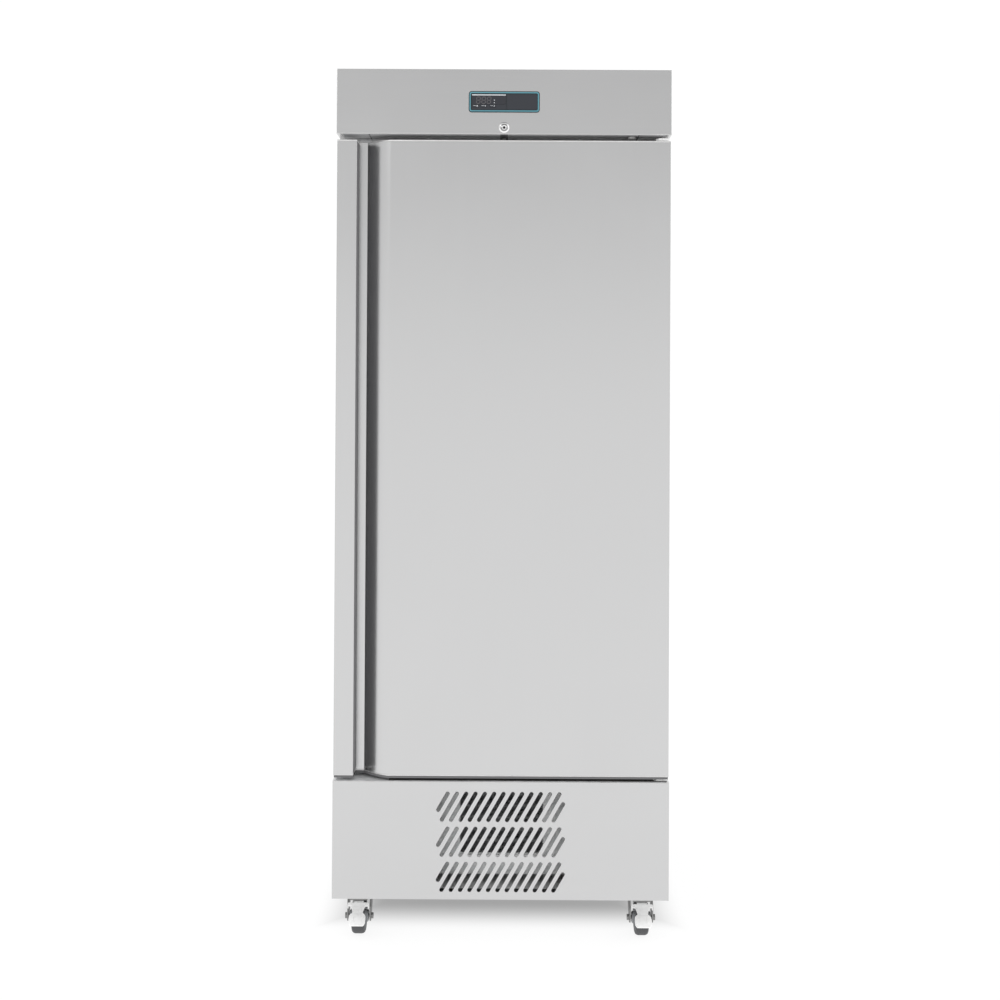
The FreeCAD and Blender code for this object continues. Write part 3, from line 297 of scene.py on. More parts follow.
def vary_roughness(tree, shader, mask, low, high):
    """Maps a mask from 0..1 to a roughness from low to high."""
    span = math_node(tree, "MULTIPLY", mask, high - low)
    connect(tree, math_node(tree, "ADD", span, low), shader.inputs["Roughness"])


def add_bump(tree, shader, height, strength, distance):
    """Lets a height bend the surface's normal."""
    bump = add_node(tree, "Bump", Strength=strength, Distance=distance, Height=height)
    connect(tree, bump.outputs[0], shader.inputs["Normal"])


def shade(color, factor):
    return tuple(min(1.0, c * factor) for c in color)

# %% [markdown]
# Satin stainless steel is a metal of medium roughness with fine lines in one direction. On the door
# and sides the lines run up and down, and on the fascia and base they run across. Anisotropy would
# stretch the highlights the same way, but it needs tangents that the model can lose, so the
# lines come from the grain group's roughness and bump instead.

# %% Stainless finishes
VERTICAL, ACROSS = (900.0, 900.0, 4.0), (4.0, 900.0, 900.0)


def stainless(name, tone, stretch, roughness):
    color = (tone, tone, tone * 1.004)
    material, tree, shader = new_material(name, color, 1.0, roughness)
    lines = place_group(tree, grain_group, Stretch=stretch, Softness=0.55)
    marks = place_group(tree, handling_group, Scale=4.0, Contrast=1.3)
    mask = math_node(tree, "MULTIPLY", lines, 0.6)
    mask = math_node(tree, "ADD", mask, math_node(tree, "MULTIPLY", marks, 0.4))
    vary_color(tree, shader, mask, shade(color, 0.965), shade(color, 1.035))
    vary_roughness(tree, shader, mask, roughness - 0.05, roughness + 0.05)
    add_bump(tree, shader, lines, 0.05, 0.0002)
    return material


steel_upright = stainless("stainless_upright_grain", 0.63, VERTICAL, 0.24)
steel_across = stainless("stainless_across_grain", 0.63, ACROSS, 0.24)
steel_inner = stainless("stainless_inner_polish", 0.60, VERTICAL, 0.20)
print("stainless finishes ready")

# %% [markdown]
# Zinc plate and galvanised sheet are duller metals. Zinc has a soft, slightly mottled sheen, and
# galvanised sheet shows flat crystals of different brightness, which a cell pattern gives.

# %% Zinc, galvanised sheet, chrome and bare metals
def mottled(name, color, metallic, low, high, scale, contrast, dark, bump=0.0):
    """A metal with cloudy marks in its colour and roughness, and in its bump if it has any."""
    material, tree, shader = new_material(name, color, metallic, (low + high) / 2)
    marks = place_group(tree, handling_group, Scale=scale, Contrast=contrast)
    vary_color(tree, shader, marks, shade(color, dark), shade(color, 1.08))
    vary_roughness(tree, shader, marks, low, high)
    if bump:
        add_bump(tree, shader, marks, bump, 0.0004)
    return material


def zinc_finish(name, tone, metallic):
    return mottled(name, (tone, tone, tone * 0.99), metallic, 0.26, 0.42, 38.0, 1.8, 0.90, 0.08)


def bare_metal(name, color, low, high, scale):
    return mottled(name, color, 1.0, low, high, scale, 1.6, 0.88)


def galvanised_finish(name, tone, metallic):
    color = (tone * 0.99, tone, tone * 1.01)
    material, tree, shader = new_material(name, color, metallic, 0.42)
    crystals = over_object(tree, "TexVoronoi", Scale=90.0)
    tones = add_node(tree, "SeparateColor", Color=crystals.outputs["Color"])
    vary_color(tree, shader, tones.outputs[0], shade(color, 0.86), shade(color, 1.10))
    vary_roughness(tree, shader, tones.outputs[1], 0.34, 0.52)
    return material


zinc = zinc_finish("zinc_plate", 0.70, 1.0)
# A darker copy of zinc is painted shade, for parts and grooves that sit in shadow.
shaded_zinc = zinc_finish("zinc_painted_shade", 0.26, 1.0)
# A near-white, barely metallic copy of zinc is painted light, for parts that look bright.
zinc_painted_light = zinc_finish("zinc_painted_light", 0.99, 0.12)
# A paler, less metallic copy of zinc on the hems is a painted highlight along the edges.
hem_highlight = zinc_finish("hem_painted_highlight", 0.76, 0.85)
galvanised = galvanised_finish("galvanised_sheet", 0.57, 1.0)
# Paler, barely metallic copies of galvanised sheet are painted light on the shroud, the condenser's end
# plates and the tray inside the base, where little light reaches.
shroud_painted_light = galvanised_finish("shroud_painted_light", 0.92, 0.15)
tray_painted_light = galvanised_finish("tray_painted_light", 0.95, 0.10)
# The base top's paler copy of galvanised sheet is painted light where light falls in through the recess.
base_top_painted_light = galvanised_finish("base_top_painted_light", 0.74, 0.35)
chrome = bare_metal("bright_chrome", (0.94, 0.94, 0.95), 0.05, 0.12, 60.0)
copper = bare_metal("copper_tube", (0.80, 0.46, 0.30), 0.22, 0.40, 30.0)
aluminium = bare_metal("aluminium_fin", (0.78, 0.79, 0.80), 0.30, 0.45, 80.0)
plated_wire = bare_metal("plated_wire", (0.70, 0.71, 0.72), 0.16, 0.28, 50.0)
print("bare metals ready")

# %% [markdown]
# Moulded plastics and rubbers aren't metals. Their colour is nearly even, and what makes them read as
# real is a fine leathery texture in the bump and a little dust on the faces that look up.

# %% Plastics, rubber, paint and foam
DUST_COLOR = (0.42, 0.41, 0.39)


def moulded(name, color, roughness, texture_scale, texture_depth, dust):
    material, tree, shader = new_material(name, color, 0.0, roughness)
    leather = over_object(tree, "TexNoise", Scale=texture_scale, Detail=4.0).outputs["Fac"]
    vary_color(tree, shader, place_group(tree, dust_group, Amount=dust), color, DUST_COLOR)
    vary_roughness(tree, shader, leather, max(0.02, roughness - 0.08), roughness + 0.08)
    add_bump(tree, shader, leather, texture_depth, 0.0004)
    return material


black_plastic = moulded("black_plastic", (0.030, 0.031, 0.034), 0.45, 1400.0, 0.12, 0.2)
bezel_black = moulded("bezel_black", (0.006, 0.016, 0.020), 0.34, 900.0, 0.03, 0.0)
bezel_teal = moulded("bezel_teal_line", (0.095, 0.285, 0.345), 0.34, 900.0, 0.02, 0.0)
panel_slate = moulded("panel_slate", (0.022, 0.025, 0.033), 0.42, 900.0, 0.04, 0.0)
window_lens = moulded("window_lens", (0.024, 0.026, 0.033), 0.20, 500.0, 0.01, 0.0)
segment_grey = moulded("unlit_segment", (0.085, 0.080, 0.086), 0.40, 500.0, 0.01, 0.0)
# Pale for the keys' printed marks and the dots, and as a painted highlight on the module's top edge.
pale_print_and_highlight = moulded("pale_print_and_painted_highlight", (0.80, 0.82, 0.85), 0.40, 900.0, 0.01, 0.0)
grey_plastic = moulded("grey_plastic", (0.30, 0.31, 0.32), 0.50, 1100.0, 0.10, 0.2)
# A dark grey that is painted shade on the wall of the grip recess.
grip_wall_painted_shade = moulded("grip_wall_painted_shade", (0.13, 0.13, 0.135), 0.45, 1100.0, 0.06, 0.1)
# Dark grey for the gap's seams and, as painted shade, for the sweep under the door.
seam_grey_and_painted_shade = moulded("seam_grey_and_painted_shade", (0.15, 0.15, 0.155), 0.60, 1300.0, 0.08, 0.1)
# A grey band and a pale band under the fascia are painted shade and painted light in the gap.
gap_painted_shade = moulded("gap_painted_shade", (0.46, 0.46, 0.47), 0.50, 1300.0, 0.05, 0.0)
gap_painted_light = moulded("gap_painted_light", (0.86, 0.86, 0.87), 0.50, 1300.0, 0.05, 0.0)
coated_fin = moulded("coated_fin", (0.62, 0.63, 0.64), 0.45, 600.0, 0.05, 0.3)
pale_plastic = moulded("pale_plastic", (0.62, 0.62, 0.61), 0.45, 1100.0, 0.06, 0.1)
gasket_rubber = moulded("gasket_rubber", (0.10, 0.10, 0.105), 0.55, 1600.0, 0.10, 0.1)
# Black rubber, and painted shade on the base top behind the door and round the blanking plug.
black_rubber = moulded("black_rubber", (0.020, 0.020, 0.021), 0.70, 900.0, 0.20, 0.5)
wheel_rubber = moulded("wheel_tread", (0.075, 0.076, 0.080), 0.60, 700.0, 0.20, 0.4)
wheel_core = moulded("wheel_core", (0.30, 0.31, 0.32), 0.42, 900.0, 0.08, 0.3)
# Black paint, and painted shade in the lock's keyway.
black_paint = moulded("black_paint", (0.018, 0.018, 0.020), 0.32, 260.0, 0.08, 0.7)
foam = moulded("rigid_foam", (0.72, 0.62, 0.40), 0.85, 420.0, 0.5, 0.0)
print("plastics and rubbers ready")

# %% [markdown]
# The floor's glow grows with the distance from the painted shadow under the cabinet. The distance is
# worked out from the object coordinates: how far a point lies outside the shade's rectangle along x or
# along y, whichever is more. The rectangle stops short of the front, where light reaches under the base.

# %% Glowing floor with a painted shadow
SHADE_HALF_X, SHADE_Y0, SHADE_Y1 = cad_box[1][0] - 0.10, -0.13, cad_box[1][1] - 0.05
SHADE_REACH, SHADE_GLOW, OPEN_GLOW = 0.17, 0.30, 0.88
glowing_floor_painted_shadow, paper, paper_shader = new_material("glowing_floor_painted_shadow", (0.14, 0.14, 0.14), 0.0, 0.95)
place_on_floor = add_node(paper, "SeparateXYZ", Vector=add_node(paper, "TexCoord").outputs["Object"])
beyond = []
for axis, low, high in (("X", -SHADE_HALF_X, SHADE_HALF_X), ("Y", SHADE_Y0, SHADE_Y1)):
    offset = math_node(paper, "SUBTRACT", place_on_floor.outputs[axis], (low + high) / 2)
    beyond.append(math_node(paper, "SUBTRACT", math_node(paper, "ABSOLUTE", offset), (high - low) / 2))
lit = fade(paper, math_node(paper, "MAXIMUM", *beyond), 0.0, SHADE_REACH)
# Under the cabinet the glow drops to SHADE_GLOW, which is a painted shadow on the floor.
glow = math_node(paper, "ADD", math_node(paper, "MULTIPLY", lit, OPEN_GLOW - SHADE_GLOW), SHADE_GLOW)
glow_color = add_node(paper, "CombineColor", Red=glow, Green=glow, Blue=glow)
connect(paper, glow_color.outputs[0], paper_shader.inputs["Emission Color"])
paper_shader.inputs["Emission Strength"].default_value = 1.0
paper_shader.inputs["Specular IOR Level"].default_value = 0.0
floor.data.materials.append(glowing_floor_painted_shadow)
print("floor shade fades over", SHADE_REACH, "m")

# %% [markdown]
# Each carried-over node now gets its finish. One table from finish to nodes is easier to check than a
# material line for each of the sixty nodes.

# %% Finishes on the frame's nodes
CASTORS = ("fl", "fr", "rl", "rr")
SWIVEL_X, SWIVEL_Y = 0.315, 0.281
PEDAL_PIVOT = (0.034, 0.085)
finishes = [
    (steel_upright, ["side_skins", "front_frame", "base_side_panels", "door_outer_skin"]),
    (steel_across, ["fascia_panel", "louvre_panel", "top_skin"]),
    (steel_inner, ["inner_liner", "door_inner_skin", "racking_uprights", "shelf_runners",
                   "evaporator_housing"]),
    (galvanised, ["back_skin", "rear_guard"]),
    # Painted light: the tray and the shroud take the paler copies of galvanised sheet.
    (tray_painted_light, ["chassis_tray"]),
    (shroud_painted_light, ["condenser_shroud"]),
    (zinc, ["fixing_screws", "castor_plates"]),
    # Painted light: the hinges and the brake pedals take the near-white copy of zinc.
    (zinc_painted_light, ["hinge_brackets", "hinge_pins", "brake_pedal_fl", "brake_pedal_fr"]),
    # Painted shade: the lock bolt and the castor forks take the darker copy of zinc.
    (shaded_zinc, ["lock_bolt"] + ["castor_fork_" + c for c in CASTORS]),
    (chrome, ["lock_barrel", "lock_cylinder"]),
    (plated_wire, ["wire_shelves"]),
    (aluminium, ["evaporator_coil", "condenser_fan_blade"]),
    (coated_fin, ["condenser_coil"]),
    (copper, ["refrigerant_pipes", "filter_drier"]),
    (foam, ["wall_insulation", "door_insulation"]),
    (bezel_black, ["controller_bezel"]),
    (panel_slate, ["badge_plate", "controller_module", "key_power", "key_up", "key_down"]),
    (black_plastic, ["evaporator_fan_motor", "evaporator_fan_blade",
                     "temperature_probe", "condensate_pan", "mains_inlet"]),
    (window_lens, ["display_window"]),
    (grey_plastic, ["drain_tube", "terminal_box", "hinge_bushes"]),
    (gasket_rubber, ["door_gasket"]),
    (black_rubber, ["compressor_mounts"]),
    (black_paint, ["compressor", "condenser_fan_motor"]),
    (wheel_rubber, ["castor_wheel_" + c for c in CASTORS]),
]
for material, names in finishes:
    for name in names:
        node = nodes[name]
        node.data.materials.clear()
        node.data.materials.append(material)
finished = [name for _, names in finishes for name in names]
print("finished:", len(finished), "left over:", sorted(set(nodes) - set(finished)))

# %% [markdown]
# Folded sheet never has a knife edge. A bevel modifier rounds the edges of a carried-over node without
# touching its own mesh, and weighted normals keep the flat faces flat.

# %% Soft edges on the frame's nodes
SOFT_EDGES = {
    0.0004: ["fascia_panel", "louvre_panel", "door_outer_skin"],
    0.0003: ["hinge_brackets", "condenser_shroud", "rear_guard", "racking_uprights", "shelf_runners"],
    0.0006: ["castor_plates", "terminal_box", "condensate_pan"],
    0.0005: ["castor_fork_" + c for c in CASTORS] + ["brake_pedal_fl", "brake_pedal_fr"],
}


def add_bevel(piece, name, width):
    bevel = piece.modifiers.new(name, "BEVEL")
    bevel.width = width
    bevel.segments = 2
    bevel.limit_method = "ANGLE"


for width, names in SOFT_EDGES.items():
    for name in names:
        add_bevel(nodes[name], "soft_edges", width)
        nodes[name].modifiers.new("flat_faces", "WEIGHTED_NORMAL").keep_sharp = True
print("softened nodes:", sum(1 for n in nodes.values() if n.modifiers))

# %% [markdown]
# The small pieces need shapes that a plain solid doesn't have: a pressed panel, a bellows, thin fins, a
# turned ring. They are all made with three forms. A skin joins a row of loops that have the same number
# of points, a lathe is a skin of circles around an axis, and a bar is one straight-sided block that a
# piece repeats many times. Each finished form becomes a piece that rides on a body of the cabinet.

# %% Form helpers
def skin(form, loops, closed_row=False, finish=0, caps=()):
    """Joins loops of equal length into a tube of quads, and closes the ends named in caps."""
    rings = [[form.verts.new(point) for point in loop] for loop in loops]
    pairs = list(zip(rings, rings[1:]))
    if closed_row:
        pairs.append((rings[-1], rings[0]))
    for row, (first, second) in enumerate(pairs):
        for i in range(len(first)):
            j = (i + 1) % len(first)
            face = form.faces.new((first[i], first[j], second[j], second[i]))
            face.material_index = finish(row) if callable(finish) else finish
    for end in caps:
        face = form.faces.new(rings[end])
        face.material_index = finish(len(pairs) * abs(end)) if callable(finish) else finish
    return rings


def around(centre, axis, steps):
    """Unit circle helper: gives a function from (radius, distance along the axis) to a loop of points."""
    axis = Vector(axis)
    side = axis.orthogonal().normalized()
    other = axis.cross(side)
    turns = [2 * math.pi * i / steps for i in range(steps)]
    reach = [side * math.cos(angle) + other * math.sin(angle) for angle in turns]
    return lambda radius, along: [Vector(centre) + axis * along + r * radius for r in reach]


def lathe(form, profile, centre, axis, steps=40, closed_row=False, finish=0):
    """Turns (radius, distance along the axis) points around an axis through centre."""
    ring = around(centre, axis, steps)
    rings = skin(form, [ring(max(radius, 1e-5), along) for radius, along in profile], closed_row, finish)
    if not closed_row:
        for end in (0, -1):
            if profile[end][0] > 0:
                form.faces.new(rings[end]).material_index = finish(0) if callable(finish) else finish
    bmesh.ops.remove_doubles(form, verts=form.verts, dist=2e-5)


def bar(form, low, high, finish=0):
    """One straight-sided block between two corners."""
    points = [(x, y, z) for x in (low[0], high[0]) for y in (low[1], high[1]) for z in (low[2], high[2])]
    v = [form.verts.new(p) for p in points]
    for ring in ((0, 1, 3, 2), (4, 6, 7, 5), (0, 4, 5, 1), (2, 3, 7, 6), (0, 2, 6, 4), (1, 5, 7, 3)):
        form.faces.new([v[i] for i in ring]).material_index = finish


def rounded_loop(cx, cz, half_w, half_h, radius, y, corner_steps=6):
    """A rounded rectangle that stands upright at depth y."""
    loop = []
    for sx, sz, start in ((1, 1, 0), (-1, 1, 90), (-1, -1, 180), (1, -1, 270)):
        for i in range(corner_steps + 1):
            angle = math.radians(start + 90 * i / corner_steps)
            loop.append((cx + sx * (half_w - radius) + radius * math.cos(angle), y,
                         cz + sz * (half_h - radius) + radius * math.sin(angle)))
    return loop


def tube(form, points, radius, sides=10, finish=0):
    """A round tube along a row of points."""
    points = [Vector(p) for p in points]
    loops, side = [], None
    for i, point in enumerate(points):
        run = (points[min(i + 1, len(points) - 1)] - points[max(i - 1, 0)]).normalized()
        side = run.orthogonal() if side is None else side - run * side.dot(run)
        side = side.normalized()
        other = run.cross(side)
        loops.append([point + (side * math.cos(2 * math.pi * k / sides)
                               + other * math.sin(2 * math.pi * k / sides)) * radius for k in range(sides)])
    skin(form, loops, finish=finish, caps=(0, -1))


pieces = {}


def finish_piece(name, form, materials, body, stands_for=(), round_edges=0.0, sharp=35):
    """Turns a form into a piece of the cabinet that rides on a body."""
    bmesh.ops.recalc_face_normals(form, faces=form.faces)
    mesh = bpy.data.meshes.new(name)
    form.to_mesh(mesh)
    form.free()
    for material in materials:
        mesh.materials.append(material)
    mesh.shade_smooth()
    mesh.set_sharp_from_angle(angle=math.radians(sharp))
    piece = bpy.data.objects.new(name, mesh)
    scene.collection.objects.link(piece)
    if round_edges:
        add_bevel(piece, "round_edges", round_edges)
    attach(piece, body)
    if stands_for:
        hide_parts(*stands_for)
    pieces[name] = piece
    return piece


def middle(name):
    low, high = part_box(name)
    return (Vector(low) + Vector(high)) / 2


def solid_boxes(name):
    """The box of each separate solid in a node, found by walking its joined faces."""
    form = bmesh.new()
    form.from_mesh(nodes[name].data)
    bmesh.ops.remove_doubles(form, verts=form.verts, dist=1e-6)
    left, boxes = set(form.verts), []
    while left:
        front, seen = [left.pop()], []
        while front:
            vert = front.pop()
            seen.append(vert.co.copy())
            for edge in vert.link_edges:
                other = edge.other_vert(vert)
                if other in left:
                    left.remove(other)
                    front.append(other)
        boxes.append((Vector([min(p[i] for p in seen) for i in range(3)]),
                      Vector([max(p[i] for p in seen) for i in range(3)])))
    form.free()
    return boxes


print("screws in the frame:", len(solid_boxes("fixing_screws")))

# %% [markdown]
# The controller's bezel is a moulded frame with a teal line in it. Rounded rectangles of shrinking size,
# each at its own depth, give the outer wall, the rim, the sunk teal band and the slope down to the
# module, and the finish changes from one band to the next.

# %% Controller bezel
bezel_low, bezel_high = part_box("controller_bezel")
bezel_mid = middle("controller_bezel")
bezel_w, bezel_h = (bezel_high[0] - bezel_low[0]) / 2, (bezel_high[2] - bezel_low[2]) / 2
WINDOW_W, WINDOW_H, BACKING_THICK = 0.0726, 0.0173, 0.0006
BEZEL_BANDS = [                 # inset from the outer edge, depth below the rim, corner radius
    (0.0, 0.0025, 0.0062), (0.0, 0.0007, 0.0062), (0.0004, 0.0001, 0.0058), (0.0009, 0.0, 0.0054),
    (0.0015, 0.0002, 0.0048), (0.0018, 0.0005, 0.0045), (0.0043, 0.0005, 0.0028), (0.0045, 0.0002, 0.0026),
]
form = bmesh.new()
loops = [rounded_loop(0, bezel_mid.z, bezel_w - inset, bezel_h - inset, radius, bezel_low[1] + depth)
         for inset, depth, radius in BEZEL_BANDS]
loops.append(rounded_loop(0.0002, bezel_mid.z, WINDOW_W, WINDOW_H, 0.0022, bezel_low[1] + 0.0012))
loops.append(rounded_loop(0.0002, bezel_mid.z, WINDOW_W, WINDOW_H, 0.0022, bezel_low[1] + 0.0025))
skin(form, loops, finish=lambda row: 1 if row == 5 else 0)
finish_piece("bezel_frame", form, [bezel_black, bezel_teal], "cabinet", ["controller_bezel"])
form = bmesh.new()
skin(form, [rounded_loop(0.0002, bezel_mid.z, WINDOW_W, WINDOW_H, 0.0022, bezel_high[1] - depth)
            for depth in (BACKING_THICK, 0.0)], caps=(0,))
finish_piece("bezel_backing", form, [bezel_black], "cabinet")
print("bezel:", round(bezel_w * 2000, 1), "x", round(bezel_h * 2000, 1), "mm")

# %% [markdown]
# Behind the window are three digits. They are off, so each of their seven bars is only a shade lighter
# than the window. Every bar is a long hexagon, which is the shape that lets the bars meet at mitred
# corners. Digits lean a little to the right.

# %% Unlit digits and dots
window_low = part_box("display_window")[0]
DIGIT_W, DIGIT_H, DIGIT_STEP, DIGIT_LEAN = 0.0078, 0.0140, 0.0116, 0.09
SEGMENT_HALF, SEGMENT_GAP, INK = 0.00085, 0.0005, 0.00006
digit_x0 = window_low[0] + 0.0090
digit_z0 = window_low[2] + 0.0022
glass_y = window_low[1]


def segment(form, start, end, lean_from):
    """One bar of a digit between two corners of its frame."""
    start, end = Vector(start), Vector(end)
    run = (end - start).normalized()
    start, end = start + run * SEGMENT_GAP, end - run * SEGMENT_GAP
    across = Vector((-run.y, run.x)) * SEGMENT_HALF
    inset = run * SEGMENT_HALF
    ring = [start, start + inset + across, end - inset + across, end, end - inset - across,
            start + inset - across]
    front = [(p.x + (p.y - lean_from) * DIGIT_LEAN, glass_y - INK, p.y) for p in ring]
    back = [(x, glass_y, z) for x, _, z in front]
    skin(form, [back, front], caps=(-1,))


form = bmesh.new()
for i in range(3):
    x0, x1 = digit_x0 + DIGIT_STEP * i, digit_x0 + DIGIT_STEP * i + DIGIT_W
    heights = [digit_z0, digit_z0 + DIGIT_H / 2, digit_z0 + DIGIT_H]
    for z in heights:
        segment(form, (x0, z), (x1, z), digit_z0)
    for x in (x0, x1):
        for low, high in zip(heights, heights[1:]):
            segment(form, (x, low), (x, high), digit_z0)
finish_piece("display_digits", form, [segment_grey], "cabinet")

form = bmesh.new()
for z in (digit_z0 + 0.0015, digit_z0 + 0.0072):
    dome = [(0.0009, 0.0), (0.0008, 0.00010), (0.0004, 0.00016), (0.0, 0.00018)]
    lathe(form, dome, (digit_x0 + DIGIT_STEP * 3 + 0.0045, glass_y, z), (0, -1, 0), 16)
finish_piece("display_dots", form, [pale_print_and_highlight], "cabinet")

module_low, module_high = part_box("controller_module")
# A pale bar along the module's top edge is a painted highlight.
form = bmesh.new()
strip_y = min(glass_y, module_low[1]) - 0.0002
bar(form, (module_low[0] + 0.0012, strip_y, module_high[2] - 0.0031),
    (module_high[0] - 0.0012, glass_y + 0.0008, module_high[2] - 0.0014))
finish_piece("module_top_painted_highlight", form, [pale_print_and_highlight], "cabinet", round_edges=0.0002)
print("digits start at x", round(digit_x0 * 1000, 1), "mm")

# %% [markdown]
# The keys are the same slate as the module, so only their marks show. A mark is a thin rule and a small
# sign beside it: a ring for power, and a triangle that points up or down for the set point. Each mark is
# printed on its key, so it rides with the key when the key is pressed.

# %% Key marks
KEY_SIGNS = {"key_power": None, "key_up": 1, "key_down": -1}
SIGN_R, SIGN_INSET, RULE_START, RULE_END = 0.0015, 0.0028, 0.0010, 0.0062
for key, point in KEY_SIGNS.items():
    low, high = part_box(key)
    y, z = low[1], (low[2] + high[2]) / 2
    form = bmesh.new()
    bar(form, (low[0] + RULE_START, y - INK, z + 0.0004), (low[0] + RULE_END, y, z + 0.0009))
    sign_x = high[0] - SIGN_INSET
    if point is None:
        ring = [(SIGN_R, 0.0), (SIGN_R, INK), (SIGN_R * 0.55, INK), (SIGN_R * 0.55, 0.0)]
        lathe(form, ring, (sign_x, y, z), (0, -1, 0), 24, closed_row=True)
    else:
        angles = [math.radians(a) for a in (90, 210, 330)]
        corners = [(sign_x + SIGN_R * math.cos(a), z + point * SIGN_R * math.sin(a)) for a in angles]
        skin(form, [[(x, front, h) for x, h in corners] for front in (y, y - INK)], caps=(-1,))
    finish_piece(key + "_mark", form, [pale_print_and_highlight], key)
print("marked keys:", sorted(KEY_SIGNS))

# %% [markdown]
# A cam lock's face is turned: a rounded flange, a groove that is darkened as painted shade, and a bright
# inner ring around the plug.
# The lathe follows that profile and comes back through the bore, so the ring is a closed solid.

# %% Lock face
lock_low, lock_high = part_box("lock_barrel")
lock_mid = middle("lock_barrel")
plug_low, plug_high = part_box("lock_cylinder")
flange_r = (lock_high[0] - lock_low[0]) / 2
plug_r = (plug_high[0] - plug_low[0]) / 2
BODY_R = flange_r - 0.002
LOCK_PROFILE = [                # radius, distance out of the fascia
    (flange_r, 0.0), (flange_r, 0.0003), (flange_r - 0.0012, 0.0013), (flange_r - 0.0022, 0.0021),
    (flange_r - 0.0030, 0.0025), (flange_r - 0.0034, 0.0024), (flange_r - 0.0038, 0.0008),
    (flange_r - 0.0044, 0.0006), (flange_r - 0.0047, 0.0018), (plug_r + 0.0003, 0.0020),
    (plug_r + 0.0002, -0.0190), (BODY_R, -0.0190), (BODY_R, -0.0002),
]
form = bmesh.new()
# The groove, rows 5 to 7, takes the darker zinc as painted shade.
lathe(form, LOCK_PROFILE, (lock_mid.x, module_low[1] + 0.0012, lock_mid.z), (0, -1, 0), 56, True,
      lambda row: 1 if row in (5, 6, 7) else 0)
finish_piece("lock_ring", form, [chrome, shaded_zinc], "cabinet", ["lock_barrel"])

# The plug is lofted from round loops down to the narrow keyway, with the cam as a bar behind it. Its
# sunk centre and keyway are black, which is painted shade.
KEYWAY_HALF_W, KEYWAY_HALF_H, KEYWAY_FLOOR, KEYWAY_DEPTH = 0.0008, 0.0028, 0.0016, 0.008
CAM_BACK, CAM_NARROWER, CAM_UP, ROUND = 0.003, 0.002, 0.001, 0.99999
plug_y0, plug_y1 = plug_low[1], plug_high[1]
PLUG_LOOPS = [                  # half size, distance behind the front face
    (plug_r, plug_y1 - plug_y0), (plug_r, 0.0008), (plug_r - 0.0006, 0.0), (plug_r - 0.0014, 0.0),
    (plug_r - 0.0030, 0.0012), (plug_r - 0.0031, KEYWAY_FLOOR),
]
form = bmesh.new()
loops = [rounded_loop(lock_mid.x, lock_mid.z, r, r, r * ROUND, plug_y0 + back, 8) for r, back in PLUG_LOOPS]
loops += [rounded_loop(lock_mid.x, lock_mid.z, KEYWAY_HALF_W, KEYWAY_HALF_H, 0.0003, plug_y0 + back, 8)
          for back in (KEYWAY_FLOOR, KEYWAY_DEPTH)]
skin(form, loops, finish=lambda row: 1 if row >= 4 else 0, caps=(0, -1))
bar(form, (plug_low[0] + CAM_NARROWER, plug_y1 - CAM_BACK, plug_low[2] + CAM_UP),
    (plug_high[0] - CAM_NARROWER, plug_y1, plug_high[2]))
finish_piece("lock_plug", form, [chrome, black_paint], "lock_cylinder", ["lock_cylinder"])
print("lock flange", round(flange_r * 2000, 1), "mm across")

# %% [markdown]
# Every folded panel ends in a hem: the sheet turned back on itself, which leaves a thin round edge that
# catches the light. The hems follow the panels' real edges. Along the door they dip into the grip
# recess, so their route takes the recess outline: in at the wall, along the floor and up the curved ramp.

# %% Hems along the panels
HEM_R, DOOR_TOP_R, HEM_INSET = 0.0009, 0.0014, 0.001
front = front_y + HEM_R * 0.9
door_low, door_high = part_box("door_outer_skin")
fascia_low, fascia_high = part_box("fascia_panel")
base_low, base_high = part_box("louvre_panel")
RECESS_WALL, RECESS_FOOT, RECESS_TOP = -0.3205, -0.3005, -0.2475
RECESS_DEPTH, RAMP_MID_DEPTH = 0.040, 0.015


def ramp_point(t):
    """A point of the ramp's arc, from its foot at 0 to its top at 1."""
    foot, top = Vector((RECESS_FOOT, RECESS_DEPTH)), Vector((RECESS_TOP, 0.0))
    mid = Vector(((RECESS_FOOT + RECESS_TOP) / 2, RAMP_MID_DEPTH))
    bow = mid * 2 - (foot + top) / 2
    return foot * (1 - t) ** 2 + bow * 2 * t * (1 - t) + top * t ** 2


def door_hem(z):
    """The hem's route along the door's edge at height z."""
    ramp = [ramp_point(t / 12) for t in range(13)]
    route = [(door_low[0] + HEM_INSET, front), (RECESS_WALL - HEM_INSET, front),
             (RECESS_WALL, front + HEM_INSET), (RECESS_WALL, front_y + RECESS_DEPTH - HEM_INSET)]
    route += [(p.x, front_y + p.y - 0.0003) for p in ramp] + [(door_high[0] - HEM_INSET, front)]
    return [(x, y, z) for x, y in route]


form = bmesh.new()
for z, radius in ((door_low[2] + HEM_R, HEM_R), (door_high[2] - DOOR_TOP_R, DOOR_TOP_R)):
    tube(form, door_hem(z), radius, 10)
# The hems' paler finish adds a painted highlight to the light that their round edge catches.
finish_piece("door_hems", form, [hem_highlight], "door")

form = bmesh.new()
for z in (fascia_low[2] + HEM_R, base_high[2] - HEM_R):
    tube(form, [(x, front, z) for x in (fascia_low[0] + HEM_INSET, 0, fascia_high[0] - HEM_INSET)], HEM_R, 8)
finish_piece("panel_hems", form, [hem_highlight], "cabinet")
print("door hem points:", len(door_hem(0.0)))

# %% [markdown]
# The wall of the grip recess carries a dark strip that is painted shade, where the wall lies in
# shadow. The strip is thin with a rounded lip, as tall as the door.

